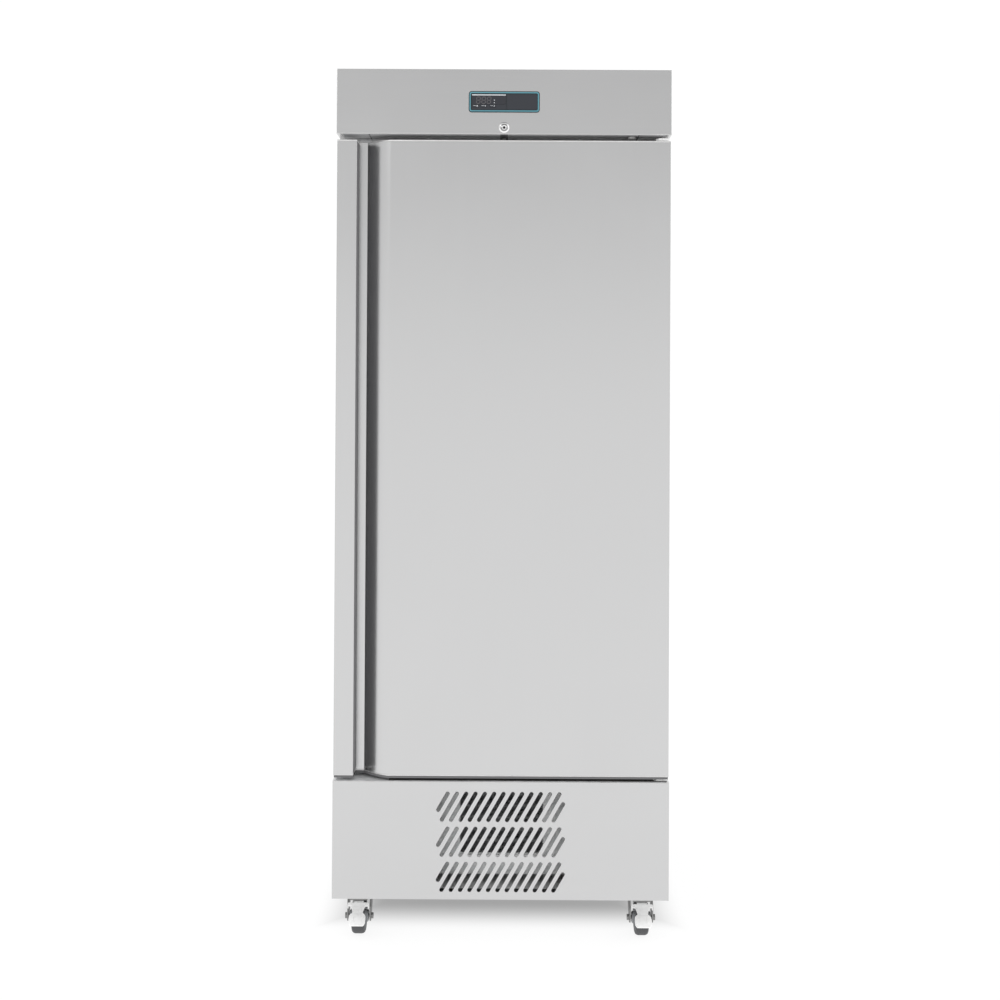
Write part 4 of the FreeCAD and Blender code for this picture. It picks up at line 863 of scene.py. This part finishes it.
# %% Painted shade on the grip wall
SHADE_STRIP_THICK, SHADE_STRIP_END = 0.0007, 0.004
form = bmesh.new()
outline = [(RECESS_WALL, front_y + 0.0012), (RECESS_WALL + SHADE_STRIP_THICK, front_y + 0.0016),
           (RECESS_WALL + SHADE_STRIP_THICK, front_y + RECESS_DEPTH - 0.0012),
           (RECESS_WALL + SHADE_STRIP_THICK + 0.0012, front_y + RECESS_DEPTH - 0.0006),
           (RECESS_WALL + SHADE_STRIP_THICK + 0.0012, front_y + RECESS_DEPTH),
           (RECESS_WALL, front_y + RECESS_DEPTH)]
skin(form, [[(x, y, z) for x, y in outline] for z in (door_low[2] + SHADE_STRIP_END, door_high[2] - SHADE_STRIP_END)],
     caps=(0, -1))
finish_piece("grip_wall_shade_strip", form, [grip_wall_painted_shade], "door")

# %% [markdown]
# Strips line the underside of the fascia and the top of the base behind the door's edges, and their tones
# are painted shade and light that make the gap read as a dark line. Under the fascia a grey front band is
# painted shade and a pale back band is painted light. That strip comes in lengths with seams between them,
# and leaves an opening for the lock's bolt. Near its right end a blanking plug fills the spare hinge hole,
# with a dark collar that is a painted shadow, and a nut holds the hinge pin under its bracket. A dark sweep
# under the door and a black strip on the base top behind the door are painted shade, and the rest of the
# base top is a paler sheet, painted light where light falls in through the recess.

# %% Painted gap shade and light, and the blanking plug
GAP_STRIP_THICK, GAP_STRIP_SUNK, GAP_STRIP_END, BOLT_ROOM, STRIP_EDGE = 0.0008, 0.0002, 0.352, 0.0078, 0.030
SEAM_X, SEAM_HALF, LIP, BOLT_GAP = 0.294, 0.0012, 0.0006, 0.0008
frame_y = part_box("front_frame")[0][1]
gap_strip_y0, gap_strip_y1 = front_y + 0.004, frame_y - 0.0005
gap_strip_z, gap_strip_top = fascia_low[2] - GAP_STRIP_THICK, fascia_low[2] + GAP_STRIP_SUNK
bolt_low, bolt_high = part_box("lock_bolt")
form = bmesh.new()
# The front band is painted shade and the back band is painted light.
for x0, x1 in ((-GAP_STRIP_END, -BOLT_ROOM), (BOLT_ROOM, GAP_STRIP_END)):
    for y0, y1, finish in ((gap_strip_y0, frame_y - STRIP_EDGE, 0), (frame_y - STRIP_EDGE, gap_strip_y1, 1)):
        bar(form, (x0, y0, gap_strip_z), (x1, y1, gap_strip_top), finish)
finish_piece("fascia_gap_shade_and_light", form, [gap_painted_shade, gap_painted_light], "cabinet")

form = bmesh.new()
for x in (-SEAM_X, SEAM_X):
    bar(form, (x - SEAM_HALF, front_y + 0.0035, gap_strip_z - 0.0004),
        (x + SEAM_HALF, frame_y - 0.0004, gap_strip_z + 0.0005))
lip_x = BOLT_ROOM - GAP_STRIP_SUNK
for x0, x1 in ((-lip_x - 0.0004, -lip_x - 0.0004 + LIP), (lip_x + 0.0004 - LIP, lip_x + 0.0004)):
    bar(form, (x0, gap_strip_y0, gap_strip_z - 0.0002), (x1, gap_strip_y1, gap_strip_top))
for y0, y1 in ((gap_strip_y0, bolt_low[1] - BOLT_GAP), (bolt_high[1] + BOLT_GAP, gap_strip_y1)):
    bar(form, (-lip_x, y0, gap_strip_z), (lip_x, y1, gap_strip_top))
finish_piece("gap_seams", form, [seam_grey_and_painted_shade], "cabinet")

NUT_R, NUT_LOW, NUT_HIGH, NUT_EDGE = 0.0062, 1.7672, 1.7712, 0.0007
pivot = middle("hinge_pins")
form = bmesh.new()
lathe(form, [(0.0, 0.0), (NUT_R * 0.80, 0.0), (NUT_R, NUT_EDGE), (NUT_R, NUT_HIGH - NUT_LOW)],
      (pivot.x, pivot.y, NUT_LOW), (0, 0, 1), 6)
# The nut takes the near-white zinc, which is painted light.
finish_piece("hinge_nut", form, [zinc_painted_light], "cabinet", round_edges=0.0003)

# The dark sweep under the door's bottom edge is painted shade.
SWEEP_LOW, SWEEP_THICK, SWEEP_BACK = 0.0056, 0.0022, 0.0022
form = bmesh.new()
route = [Vector((x, y + SWEEP_BACK)) for x, y, z in door_hem(0.0)]
outline = [(p.x, p.y) for p in route] + [(p.x, p.y + SWEEP_THICK) for p in reversed(route)]
rings = skin(form, [[(x, y, z) for x, y in outline] for z in (door_low[2] - SWEEP_LOW, door_low[2] + 0.0002)])
for i in range(len(route) - 1):
    j = len(outline) - 1 - i
    form.faces.new((rings[0][i], rings[0][i + 1], rings[0][j - 1], rings[0][j]))
finish_piece("door_sweep_painted_shade", form, [seam_grey_and_painted_shade], "door")

# The base top is painted light, and the black strip on it behind the door is painted shade.
RAIL_THICK, RAIL_END = 0.0005, 0.004
rail_x1, rail_y1, rail_z = base_high[0] - RAIL_END, frame_y - 0.001, base_high[2] + RAIL_THICK
form = bmesh.new()
bar(form, (base_low[0] + RAIL_END, front_y + 0.0022, base_high[2] - 0.0001), (rail_x1, rail_y1, rail_z))
bar(form, (RECESS_TOP + 0.004, front_y + 0.0050, rail_z - 0.0001), (rail_x1, rail_y1, rail_z + 0.0006), 1)
finish_piece("base_top_light_and_shade", form, [base_top_painted_light, black_rubber], "cabinet", round_edges=0.0002)

PLUG_X, PLUG_R, PLUG_BACK = 0.2805, 0.0088, 0.0275
plug_place = (PLUG_X, front_y + PLUG_BACK, fascia_low[2] + 0.0004)
plug_profile = [(PLUG_R, 0.0), (PLUG_R, 0.0022), (PLUG_R - 0.0010, 0.0042), (PLUG_R - 0.0030, 0.0052),
                (0.0022, 0.0054), (0.0016, 0.0046), (0.0, 0.0046)]
# The dark collar round the plug is a painted shadow.
plug_shadow_collar = [(PLUG_R + 0.0026, 0.0), (PLUG_R + 0.0026, 0.0012), (PLUG_R - 0.0004, 0.0012)]
form = bmesh.new()
lathe(form, plug_profile, plug_place, (0, 0, -1), 40)
lathe(form, plug_shadow_collar, plug_place, (0, 0, -1), 40, finish=1)
finish_piece("blanking_plug", form, [pale_plastic, black_rubber], "cabinet", sharp=50)
print("plug at x", PLUG_X)

# %% [markdown]
# The door's magnetic gasket is one closed loop of extruded rubber, welded at mitred corners. Its section
# has a bellows that lets the magnet reach the frame. The section is a short row of points, inward from
# the outer edge and out from the door, and the mitre comes from moving each point in by the same amount
# along both sides of the corner.

# %% Gasket with mitred corners
gasket_low, gasket_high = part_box("door_gasket")
GASKET_W = 0.028
GASKET_D = gasket_high[1] - gasket_low[1]
SECTION = [                     # share of the width from the outer edge, share of the depth
    (0.00, 0.00), (0.00, 0.16), (0.16, 0.24), (0.06, 0.42), (0.02, 0.60), (0.10, 0.78), (0.08, 0.92),
    (0.14, 1.00), (0.62, 1.00), (0.68, 0.92), (0.66, 0.72), (0.78, 0.58), (0.74, 0.40), (0.94, 0.22),
    (1.00, 0.14), (1.00, 0.00),
]
form = bmesh.new()
loops = []
for sx, sz in ((-1, -1), (1, -1), (1, 1), (-1, 1)):
    cx, cz = (gasket_high[0] if sx > 0 else gasket_low[0]), (gasket_high[2] if sz > 0 else gasket_low[2])
    loops.append([(cx - sx * u * GASKET_W, gasket_low[1] + v * GASKET_D, cz - sz * u * GASKET_W)
                  for u, v in SECTION])
skin(form, loops, closed_row=True)
finish_piece("gasket_bellows", form, [gasket_rubber], "door", ["door_gasket"], sharp=30)
print("gasket section points:", len(SECTION))

# %% [markdown]
# The door's inner skin is a pressed panel: flat where the gasket sits, then a raised plug that fills the
# doorway, with a shallow field pressed into it. Loops from the edge to the middle draw those steps.

# %% Pressed inner skin
inner_low, inner_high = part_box("door_inner_skin")
half_w = (inner_high[0] - inner_low[0]) / 2
mid_z, half_h = (inner_high[2] + inner_low[2]) / 2, (inner_high[2] - inner_low[2]) / 2
PLUG_HALF, PLUG_LOW, PLUG_HIGH = 0.280, 0.446, 1.688
plug_z, plug_h = (PLUG_LOW + PLUG_HIGH) / 2, (PLUG_HIGH - PLUG_LOW) / 2
flat_y, plug_y = inner_low[1] + 0.001, inner_high[1]
PLUG_STEPS = [                  # inset from the plug's sides, depth below its face, corner radius
    (0.0, plug_y - flat_y, 0.003), (0.0, 0.0009, 0.003), (0.0003, 0.0003, 0.003), (0.0009, 0.0, 0.0026),
    (0.045, 0.0, 0.012), (0.0462, 0.0006, 0.011), (0.0475, 0.0008, 0.011), (0.0488, 0.0006, 0.010),
    (0.050, 0.0, 0.010),
]
form = bmesh.new()
loops = [rounded_loop(0, mid_z, half_w, half_h, 0.001, inner_low[1]),
         rounded_loop(0, mid_z, half_w, half_h, 0.001, flat_y)]
for inset, sunk, radius in PLUG_STEPS:
    loops.append(rounded_loop(0, plug_z, PLUG_HALF - inset, plug_h - inset, radius, plug_y - sunk))
skin(form, loops, caps=(-1, 0))
finish_piece("pressed_inner_skin", form, [steel_inner], "door", ["door_inner_skin"])
print("plug:", round(PLUG_HALF * 2000), "x", round(plug_h * 2000), "mm")

# %% [markdown]
# The liner is a tub that lies on its side. Its corners are coved so they can be wiped clean. Rounded
# rectangles run from the doorway to the back, and the last few shrink along a quarter circle for the
# cove round the back wall. A solidify modifier gives the sheet its thickness on the outside.

# %% Coved liner
liner_low, liner_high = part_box("inner_liner")
COVE, SKIN = 0.016, 0.001
liner_w = (liner_high[0] - liner_low[0]) / 2 - SKIN
liner_z, liner_h = (liner_high[2] + liner_low[2]) / 2, (liner_high[2] - liner_low[2]) / 2 - SKIN
back_y = liner_high[1] - SKIN
form = bmesh.new()
loops = [rounded_loop(0, liner_z, liner_w, liner_h, COVE, y) for y in (liner_low[1], back_y - COVE)]
for i in range(1, 6):
    angle = math.radians(90 * i / 5)
    inset = COVE * (1 - math.cos(angle))
    loops.append(rounded_loop(0, liner_z, liner_w - inset, liner_h - inset, max(COVE - inset, 0.001),
                              back_y - COVE + COVE * math.sin(angle)))
skin(form, loops, caps=(-1,))
liner = finish_piece("coved_liner", form, [steel_inner], "cabinet", ["inner_liner"])
sheet = liner.modifiers.new("sheet", "SOLIDIFY")
sheet.thickness = SKIN
sheet.offset = 1.0
print("liner cove:", COVE * 1000, "mm")

# %% [markdown]
# A coil is a stack of thin fins on rows of tube, and its bends show outside the end fins. Fins are so
# thin and close that light dies between them, so a coil looks dark from the front even though each fin
# is bright. The condenser's fins have a grey coated finish.

# %% Fin packs
COIL_TUBE_R, BEND_REACH = 0.0046, 0.016


def u_bend(form, x, side, y, z, run, reach, radius, finish):
    """A return bend beside the end fin; run is the step to the next tube."""
    route = []
    for i in range(9):
        angle = math.radians(180 * i / 8)
        t = (1 - math.cos(angle)) / 2
        route.append((x + side * reach * math.sin(angle), y + run[0] * t, z + run[1] * t))
    tube(form, route, radius, 8, finish)


def fin_pack(name, node, core, fin_count, rows, run, materials):
    """Fins across the core box, tubes through them and bends at both ends."""
    (x0, y0, z0), (x1, y1, z1) = core
    form = bmesh.new()
    pitch = (x1 - x0) / (fin_count - 1)
    for i in range(fin_count):
        x = x0 + pitch * i
        bar(form, (x - 0.00012, y0, z0), (x + 0.00012, y1, z1))
    for side, x in ((-1, x0), (1, x1)):
        bar(form, (x - 0.0008, y0, z0), (x + 0.0008, y1, z1), 1)
    for y, z in rows:
        for y_end, z_end in ((y, z), (y + run[0], z + run[1])):
            tube(form, [(x, y_end, z_end) for x in (x0 - 0.001, 0, x1 + 0.001)], COIL_TUBE_R, 8)
        for side, x in ((-1, x0), (1, x1)):
            u_bend(form, x, side, y, z, run, BEND_REACH, COIL_TUBE_R, 2)
    return finish_piece(name, form, materials, "cabinet", [node], sharp=50)


coil_low, coil_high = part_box("condenser_coil")
CONDENSER_HALF, CONDENSER_INSET = 0.128, 0.014
condenser_rows = [(y, coil_low[2] + 0.022 + 0.052 * i)
                  for y in (coil_low[1] + CONDENSER_INSET, coil_high[1] - CONDENSER_INSET) for i in range(4)]
fin_pack("condenser_fins", "condenser_coil",
         ((-CONDENSER_HALF, coil_low[1], coil_low[2]), (CONDENSER_HALF, coil_high[1], coil_high[2])),
         116, condenser_rows, (0.0, 0.025), [coated_fin, shroud_painted_light, copper])

evap_low, evap_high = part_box("evaporator_coil")
EVAPORATOR_HALF = 0.215
evaporator_rows = [(y, evap_low[2] + dz) for y in (0.175, 0.215, 0.255) for dz in (0.020, 0.062)]
fin_pack("evaporator_fins", "evaporator_coil",
         ((-EVAPORATOR_HALF, evap_low[1], evap_low[2]), (EVAPORATOR_HALF, evap_high[1], evap_high[2])),
         108, evaporator_rows, (0.022, 0.0), [aluminium, galvanised, copper])
print("condenser tubes:", len(condenser_rows) * 2, "evaporator tubes:", len(evaporator_rows) * 2)

# %% [markdown]
# A fan blade is steep at the hub and flat at the tip, because the tip moves faster. Each blade is a grid
# of points over radius and width, turned about its own radius by an angle that falls off outward, and
# then given a thickness.

# %% Fan wheels
def fan_wheel(name, node, body, hub_r, count, root_pitch, tip_pitch, material):
    low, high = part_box(node)
    centre = middle(node)
    radius = min(high[0] - low[0], high[2] - low[2]) / 2
    depth = high[1] - low[1]
    bore = hub_r * 0.22
    form = bmesh.new()
    hub = [(hub_r, -0.40), (hub_r, 0.28), (hub_r * 0.93, 0.38), (hub_r * 0.75, 0.42), (hub_r * 0.72, 0.34),
           (bore * 1.9, 0.32), (bore * 1.7, 0.44), (bore, 0.44), (bore, -0.40)]
    lathe(form, [(r, a * depth) for r, a in hub], centre, (0, -1, 0), 40, closed_row=True)
    steps_r, steps_w = 7, 6
    for blade in range(count):
        turn = 2 * math.pi * blade / count
        grid = []
        for i in range(steps_r):
            t = i / (steps_r - 1)
            r = hub_r * 0.97 + (radius * 0.985 - hub_r * 0.97) * t
            pitch = math.radians(root_pitch + (tip_pitch - root_pitch) * t)
            chord = radius * (0.42 + 0.30 * math.sin(math.pi * min(1.0, t + 0.15)))
            line = []
            for j in range(steps_w):
                w = j / (steps_w - 1) - 0.5
                sweep = 0.30 * t * t
                camber = 0.06 * chord * (0.25 - w * w) * 4
                angle = turn + sweep + w * chord * math.cos(pitch) / r
                along = w * chord * math.sin(pitch) * 0.9 - camber
                along = max(-depth * 0.48, min(depth * 0.48, along))
                line.append(form.verts.new((centre.x + r * math.sin(angle), centre.y + along,
                                            centre.z + r * math.cos(angle))))
            grid.append(line)
        faces = [form.faces.new((grid[i][j], grid[i][j + 1], grid[i + 1][j + 1], grid[i + 1][j]))
                 for i in range(steps_r - 1) for j in range(steps_w - 1)]
        bmesh.ops.solidify(form, geom=faces, thickness=0.0010)
    return finish_piece(name, form, [material], body, [node], sharp=50)


fan_wheel("condenser_fan_wheel", "condenser_fan_blade", "condenser_fan", 0.022, 5, 34, 20, aluminium)
fan_wheel("evaporator_fan_wheel", "evaporator_fan_blade", "evaporator_fan", 0.014, 5, 36, 22, black_plastic)
print("fan wheels:", [n for n in pieces if n.endswith("fan_wheel")])

# %% [markdown]
# A castor wheel is turned too: a rubber tread with round shoulders on a grey core, which has a dished
# web and a long hub. The band number picks the finish, rubber for the tread and plastic for the core.

# %% Castor wheels
def wheel_profile(radius, half_w, half_hub):
    """Half a wheel's section, from the hub's bore outwards, as (radius, distance) points."""
    bore, tread = 0.0041, 0.0085
    return [(bore, half_hub), (0.0110, half_hub), (0.0130, half_hub - 0.002), (0.0135, half_w - 0.0070),
            (0.0160, half_w - 0.0085), (radius - tread - 0.006, half_w - 0.0070),
            (radius - tread - 0.002, half_w - 0.0030), (radius - tread, half_w - 0.0012),
            (radius - tread + 0.0010, half_w - 0.0004), (radius - 0.0055, half_w - 0.0002),
            (radius - 0.0028, half_w - 0.0016), (radius - 0.0010, half_w - 0.0040), (radius, half_w - 0.0075)]


for corner in CASTORS:
    node = "castor_wheel_" + corner
    low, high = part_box(node)
    half = wheel_profile((high[2] - low[2]) / 2, 0.015, (high[0] - low[0]) / 2)
    profile = half + [(r, -a) for r, a in reversed(half)]
    form = bmesh.new()
    lathe(form, profile, middle(node), (1, 0, 0), 64, True,
          lambda row: 1 if row < 7 or row > 17 else 0)
    finish_piece("wheel_" + corner + "_turned", form, [wheel_rubber, wheel_core], "wheel_" + corner, [node],
                 sharp=40)
print("wheels:", CASTORS)

# %% [markdown]
# Above each fork a ball race lets the castor swivel. Its dust ring and the kingpin's riveted head are
# turned pieces that ride with the fork.

# %% Swivel rings and kingpins
for corner in CASTORS:
    fork_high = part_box("castor_fork_" + corner)[1]
    sx, sy = (-1 if corner[1] == "l" else 1), (-1 if corner[0] == "f" else 1)
    centre = (sx * SWIVEL_X, sy * SWIVEL_Y, fork_high[2])
    form = bmesh.new()
    ring = [(0.0274, -0.0012), (0.0282, -0.0022), (0.0282, -0.0046), (0.0268, -0.0056), (0.0262, -0.0050),
            (0.0262, -0.0012)]
    lathe(form, ring, centre, (0, 0, 1), 48, closed_row=True)
    finish_piece("swivel_ring_" + corner, form, [black_rubber], "castor_" + corner)
    form = bmesh.new()
    head = [(0.0085, -0.0050), (0.0085, -0.0075), (0.0070, -0.0092), (0.0040, -0.0100), (0.0, -0.0102)]
    lathe(form, head, centre, (0, 0, 1), 28)
    finish_piece("kingpin_" + corner, form, [zinc], "castor_" + corner, sharp=50)
print("swivel axes at", SWIVEL_X, SWIVEL_Y)

# %% [markdown]
# The brake pedal is one strip of sheet bent over its pivot bar. Its half width changes along the bend:
# a narrow tongue at the top, wide shoulders at the pivot, a waist, and a broad foot plate with cut
# corners. The strip is a skin between stations along the bend, and the foot plate gets two pressed ribs.

# %% Brake pedals
PEDAL_STATIONS = [              # forward of the swivel axis, height, half width
    (0.050, 0.0822, 0.0115), (0.0530, 0.0806, 0.0100), (0.0540, 0.0800, 0.0100), (0.0545, 0.0797, 0.0236),
    (0.058, 0.0762, 0.0238), (0.0590, 0.0750, 0.0238), (0.0595, 0.0745, 0.0160), (0.064, 0.0712, 0.0138),
    (0.069, 0.0675, 0.0120), (0.0735, 0.0642, 0.0118), (0.0750, 0.0632, 0.0150), (0.0785, 0.0607, 0.0180),
    (0.085, 0.0555, 0.0186), (0.092, 0.0502, 0.0184), (0.0955, 0.0478, 0.0166), (0.0980, 0.0462, 0.0143),
]
PEDAL_SHEET, PEDAL_LOW, PEDAL_EDGE = 0.0022, 0.0045, 0.0004
EAR_DROP, EAR_T, EAR_HALF, RIB_X = 0.0070, 0.0022, 0.0238, 0.0085
ears_z = 0.0745 - EAR_DROP - PEDAL_LOW, 0.0775 - PEDAL_LOW
RIB = [(0.0800, 0.0595), (0.086, 0.0551), (0.092, 0.0506)]     # forward of the swivel axis, height
pivot_y, pivot_z = -SWIVEL_Y - PEDAL_PIVOT[0], PEDAL_PIVOT[1]
for corner in ("fl", "fr"):
    cx = -SWIVEL_X if corner[1] == "l" else SWIVEL_X
    form = bmesh.new()
    loops = []
    for forward_by, height, half in PEDAL_STATIONS:
        y, top = -SWIVEL_Y - forward_by, height - PEDAL_LOW
        section = [(-half, PEDAL_EDGE), (-half + 0.0010, 0), (half - 0.0010, 0), (half, PEDAL_EDGE),
                   (half, PEDAL_SHEET), (-half, PEDAL_SHEET)]
        loops.append([(cx + across, y, top - down) for across, down in section])
    skin(form, loops, caps=(0, -1))
    for side in (-1, 1):
        ear = sorted((cx + side * EAR_HALF, cx + side * (EAR_HALF - EAR_T)))
        bar(form, (ear[0], -SWIVEL_Y - 0.0585, ears_z[0]), (ear[1], -SWIVEL_Y - 0.0525, ears_z[1]))
        rib = [(cx + side * RIB_X, -SWIVEL_Y - forward_by, height - PEDAL_LOW) for forward_by, height in RIB]
        tube(form, rib, 0.0010, 8)
    # The pedal sheet takes the near-white zinc, which is painted light.
    finish_piece("pedal_sheet_" + corner, form, [zinc_painted_light], "pedal_" + corner, ["brake_pedal_" + corner],
                 round_edges=0.0003)
    # The pivot bar and its brackets take the darker zinc, which is painted shade.
    form = bmesh.new()
    lathe(form, [(0.0034, -0.0224), (0.0034, 0.0224)], (cx, pivot_y, pivot_z), (1, 0, 0), 24)
    for x in (cx - 0.018, cx + 0.018):
        bar(form, (x - 0.0018, -SWIVEL_Y - 0.0545, pivot_z - 0.0032), (x + 0.0018, pivot_y, pivot_z + 0.0030))
    bar(form, (cx - 0.020, -SWIVEL_Y - 0.0525, 0.0795), (cx + 0.020, -SWIVEL_Y - 0.0495, 0.0865))
    finish_piece("pedal_pivot_" + corner, form, [shaded_zinc], "pedal_" + corner, round_edges=0.0004)
print("pedal stations:", len(PEDAL_STATIONS))

# %% [markdown]
# Screws are found in the frame instead of being listed again: each separate solid of the screws' node
# gives a centre, and its thinnest direction is the screw's axis. A domed head gets its cross by pushing
# the points inside a plus sign down, and the castors' bolts get a hexagon on a washer.

# %% Screw heads
def cross_head(form, centre, axis, radius, height):
    """A domed head with a cross recess."""
    dome = [(1.0, 0.0), (0.98, 0.45), (0.86, 0.82), (0.70, 0.94), (0.56, 0.98), (0.52, 0.985), (0.36, 0.99),
            (0.20, 1.0), (0.12, 1.0), (0.0, 1.0)]
    steps, loops = 48, []
    ring = around(centre, axis, steps)
    for share, rise in dome:
        high, low = ring(share * radius, height * rise), ring(share * radius, height * (rise - 0.55))
        for i in range(steps):
            angle = 2 * math.pi * i / steps
            if share < 0.54 and share * min(abs(math.cos(angle)), abs(math.sin(angle))) < 0.13:
                high[i] = low[i]
        loops.append(high)
    skin(form, loops, caps=(0,))
    bmesh.ops.remove_doubles(form, verts=form.verts, dist=1e-5)


def hex_bolt(form, centre, axis, radius, height):
    """A hexagon head with a turned washer under it."""
    washer = [(radius * 1.25, 0.0), (radius * 1.25, 0.0010), (radius * 1.1, 0.0013), (0.0, 0.0013)]
    lathe(form, washer, centre, axis, 32)
    head = [(radius, 0.0012), (radius, height * 0.86), (radius * 0.90, height), (0.0, height)]
    lathe(form, head, centre, axis, 6)


form = bmesh.new()
screw_count = 0
for low, high in solid_boxes("fixing_screws"):
    size = high - low
    thin = min(range(3), key=lambda i: size[i])
    mid = (low + high) / 2
    axis = Vector((0, 0, 0))
    axis[thin] = 1.0 if thin == 1 else -1.0
    seat = mid.copy()
    seat[thin] = low[thin] if thin == 1 else high[thin]
    if thin == 2 and high[2] < base_high[2]:
        hex_bolt(form, seat, axis, max(size) / 2, size[thin])
    else:
        cross_head(form, seat, axis, max(size) / 2, size[thin])
    screw_count += 1
finish_piece("screw_heads", form, [zinc], "cabinet", ["fixing_screws"], sharp=30)

back_low, back_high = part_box("back_skin")
BACK_SCREW_X, BACK_SCREW_R, BACK_SCREW_UP = 0.348, 0.0045, 0.0020
form = bmesh.new()
for x in (-BACK_SCREW_X, BACK_SCREW_X):
    for i in range(6):
        z = back_low[2] + 0.03 + (back_high[2] - back_low[2] - 0.06) * i / 5
        cross_head(form, (x, back_high[1], z), (0, 1, 0), BACK_SCREW_R, BACK_SCREW_UP)
finish_piece("back_screw_heads", form, [zinc], "cabinet", sharp=30)
print("screws and bolts:", screw_count, "back screws: 12")

# %% [markdown]
# The guard at the back lets warm air out through slots, and each slot is half covered by a pressed hood
# that keeps dust out. A hood is a grid that bulges outward between its ends and opens downward.

# %% Guard hoods
guard_low, guard_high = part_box("rear_guard")
HOOD_W, HOOD_H, HOOD_OUT = 0.144, 0.013, 0.0040
form = bmesh.new()
for x0 in (-0.182, 0.058):
    for i in range(9):
        z_top = guard_low[2] + 0.031 + 0.020 * i + 0.0095
        grid = []
        for a in range(13):
            u = a / 12
            bulge = math.sin(math.pi * min(1.0, max(0.0, 0.04 + 0.92 * u))) ** 0.35
            line = []
            for b in range(6):
                v = b / 5
                out_by = HOOD_OUT * bulge * math.sin(math.pi / 2 * v)
                drop = HOOD_H * v * (0.35 + 0.65 * bulge)
                line.append(form.verts.new((x0 + HOOD_W * u, guard_high[1] + 0.0001 + out_by, z_top - drop)))
            grid.append(line)
        faces = [form.faces.new((grid[a][b], grid[a + 1][b], grid[a + 1][b + 1], grid[a][b + 1]))
                 for a in range(12) for b in range(5)]
        bmesh.ops.solidify(form, geom=faces, thickness=0.0006)
finish_piece("guard_hoods", form, [galvanised], "cabinet", sharp=50)

# %% [markdown]
# The mains lead would pass through a cable gland. Its dome nut is turned, with flats for a spanner, and
# it keeps its bore open.

# %% Cable gland
gland_low, gland_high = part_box("mains_inlet")
gland = middle("mains_inlet")
GLAND_BORE, GLAND_BODY, GLAND_NUT = 0.0045, 0.0080, 0.0110
form = bmesh.new()
lathe(form, [(GLAND_BORE, gland_low[1]), (GLAND_BODY, gland_low[1]), (GLAND_BODY, guard_high[1]),
             (GLAND_BODY, gland_high[1] - 0.0008), (GLAND_BODY - 0.0012, gland_high[1]),
             (GLAND_BORE + 0.0006, gland_high[1]), (GLAND_BORE, gland_high[1] - 0.0006)],
      (gland.x, 0, gland.z), (0, 1, 0), 36, closed_row=True)
lathe(form, [(GLAND_BODY - 0.0002, guard_high[1] + 0.0001), (GLAND_NUT, guard_high[1] + 0.0001),
             (GLAND_NUT, guard_high[1] + 0.0020), (GLAND_NUT - 0.0010, guard_high[1] + 0.0026),
             (GLAND_BODY - 0.0002, guard_high[1] + 0.0026)],
      (gland.x, 0, gland.z), (0, 1, 0), 6, closed_row=True)
finish_piece("cable_gland", form, [black_plastic], "cabinet", ["mains_inlet"])
print("pieces built:", len(pieces))
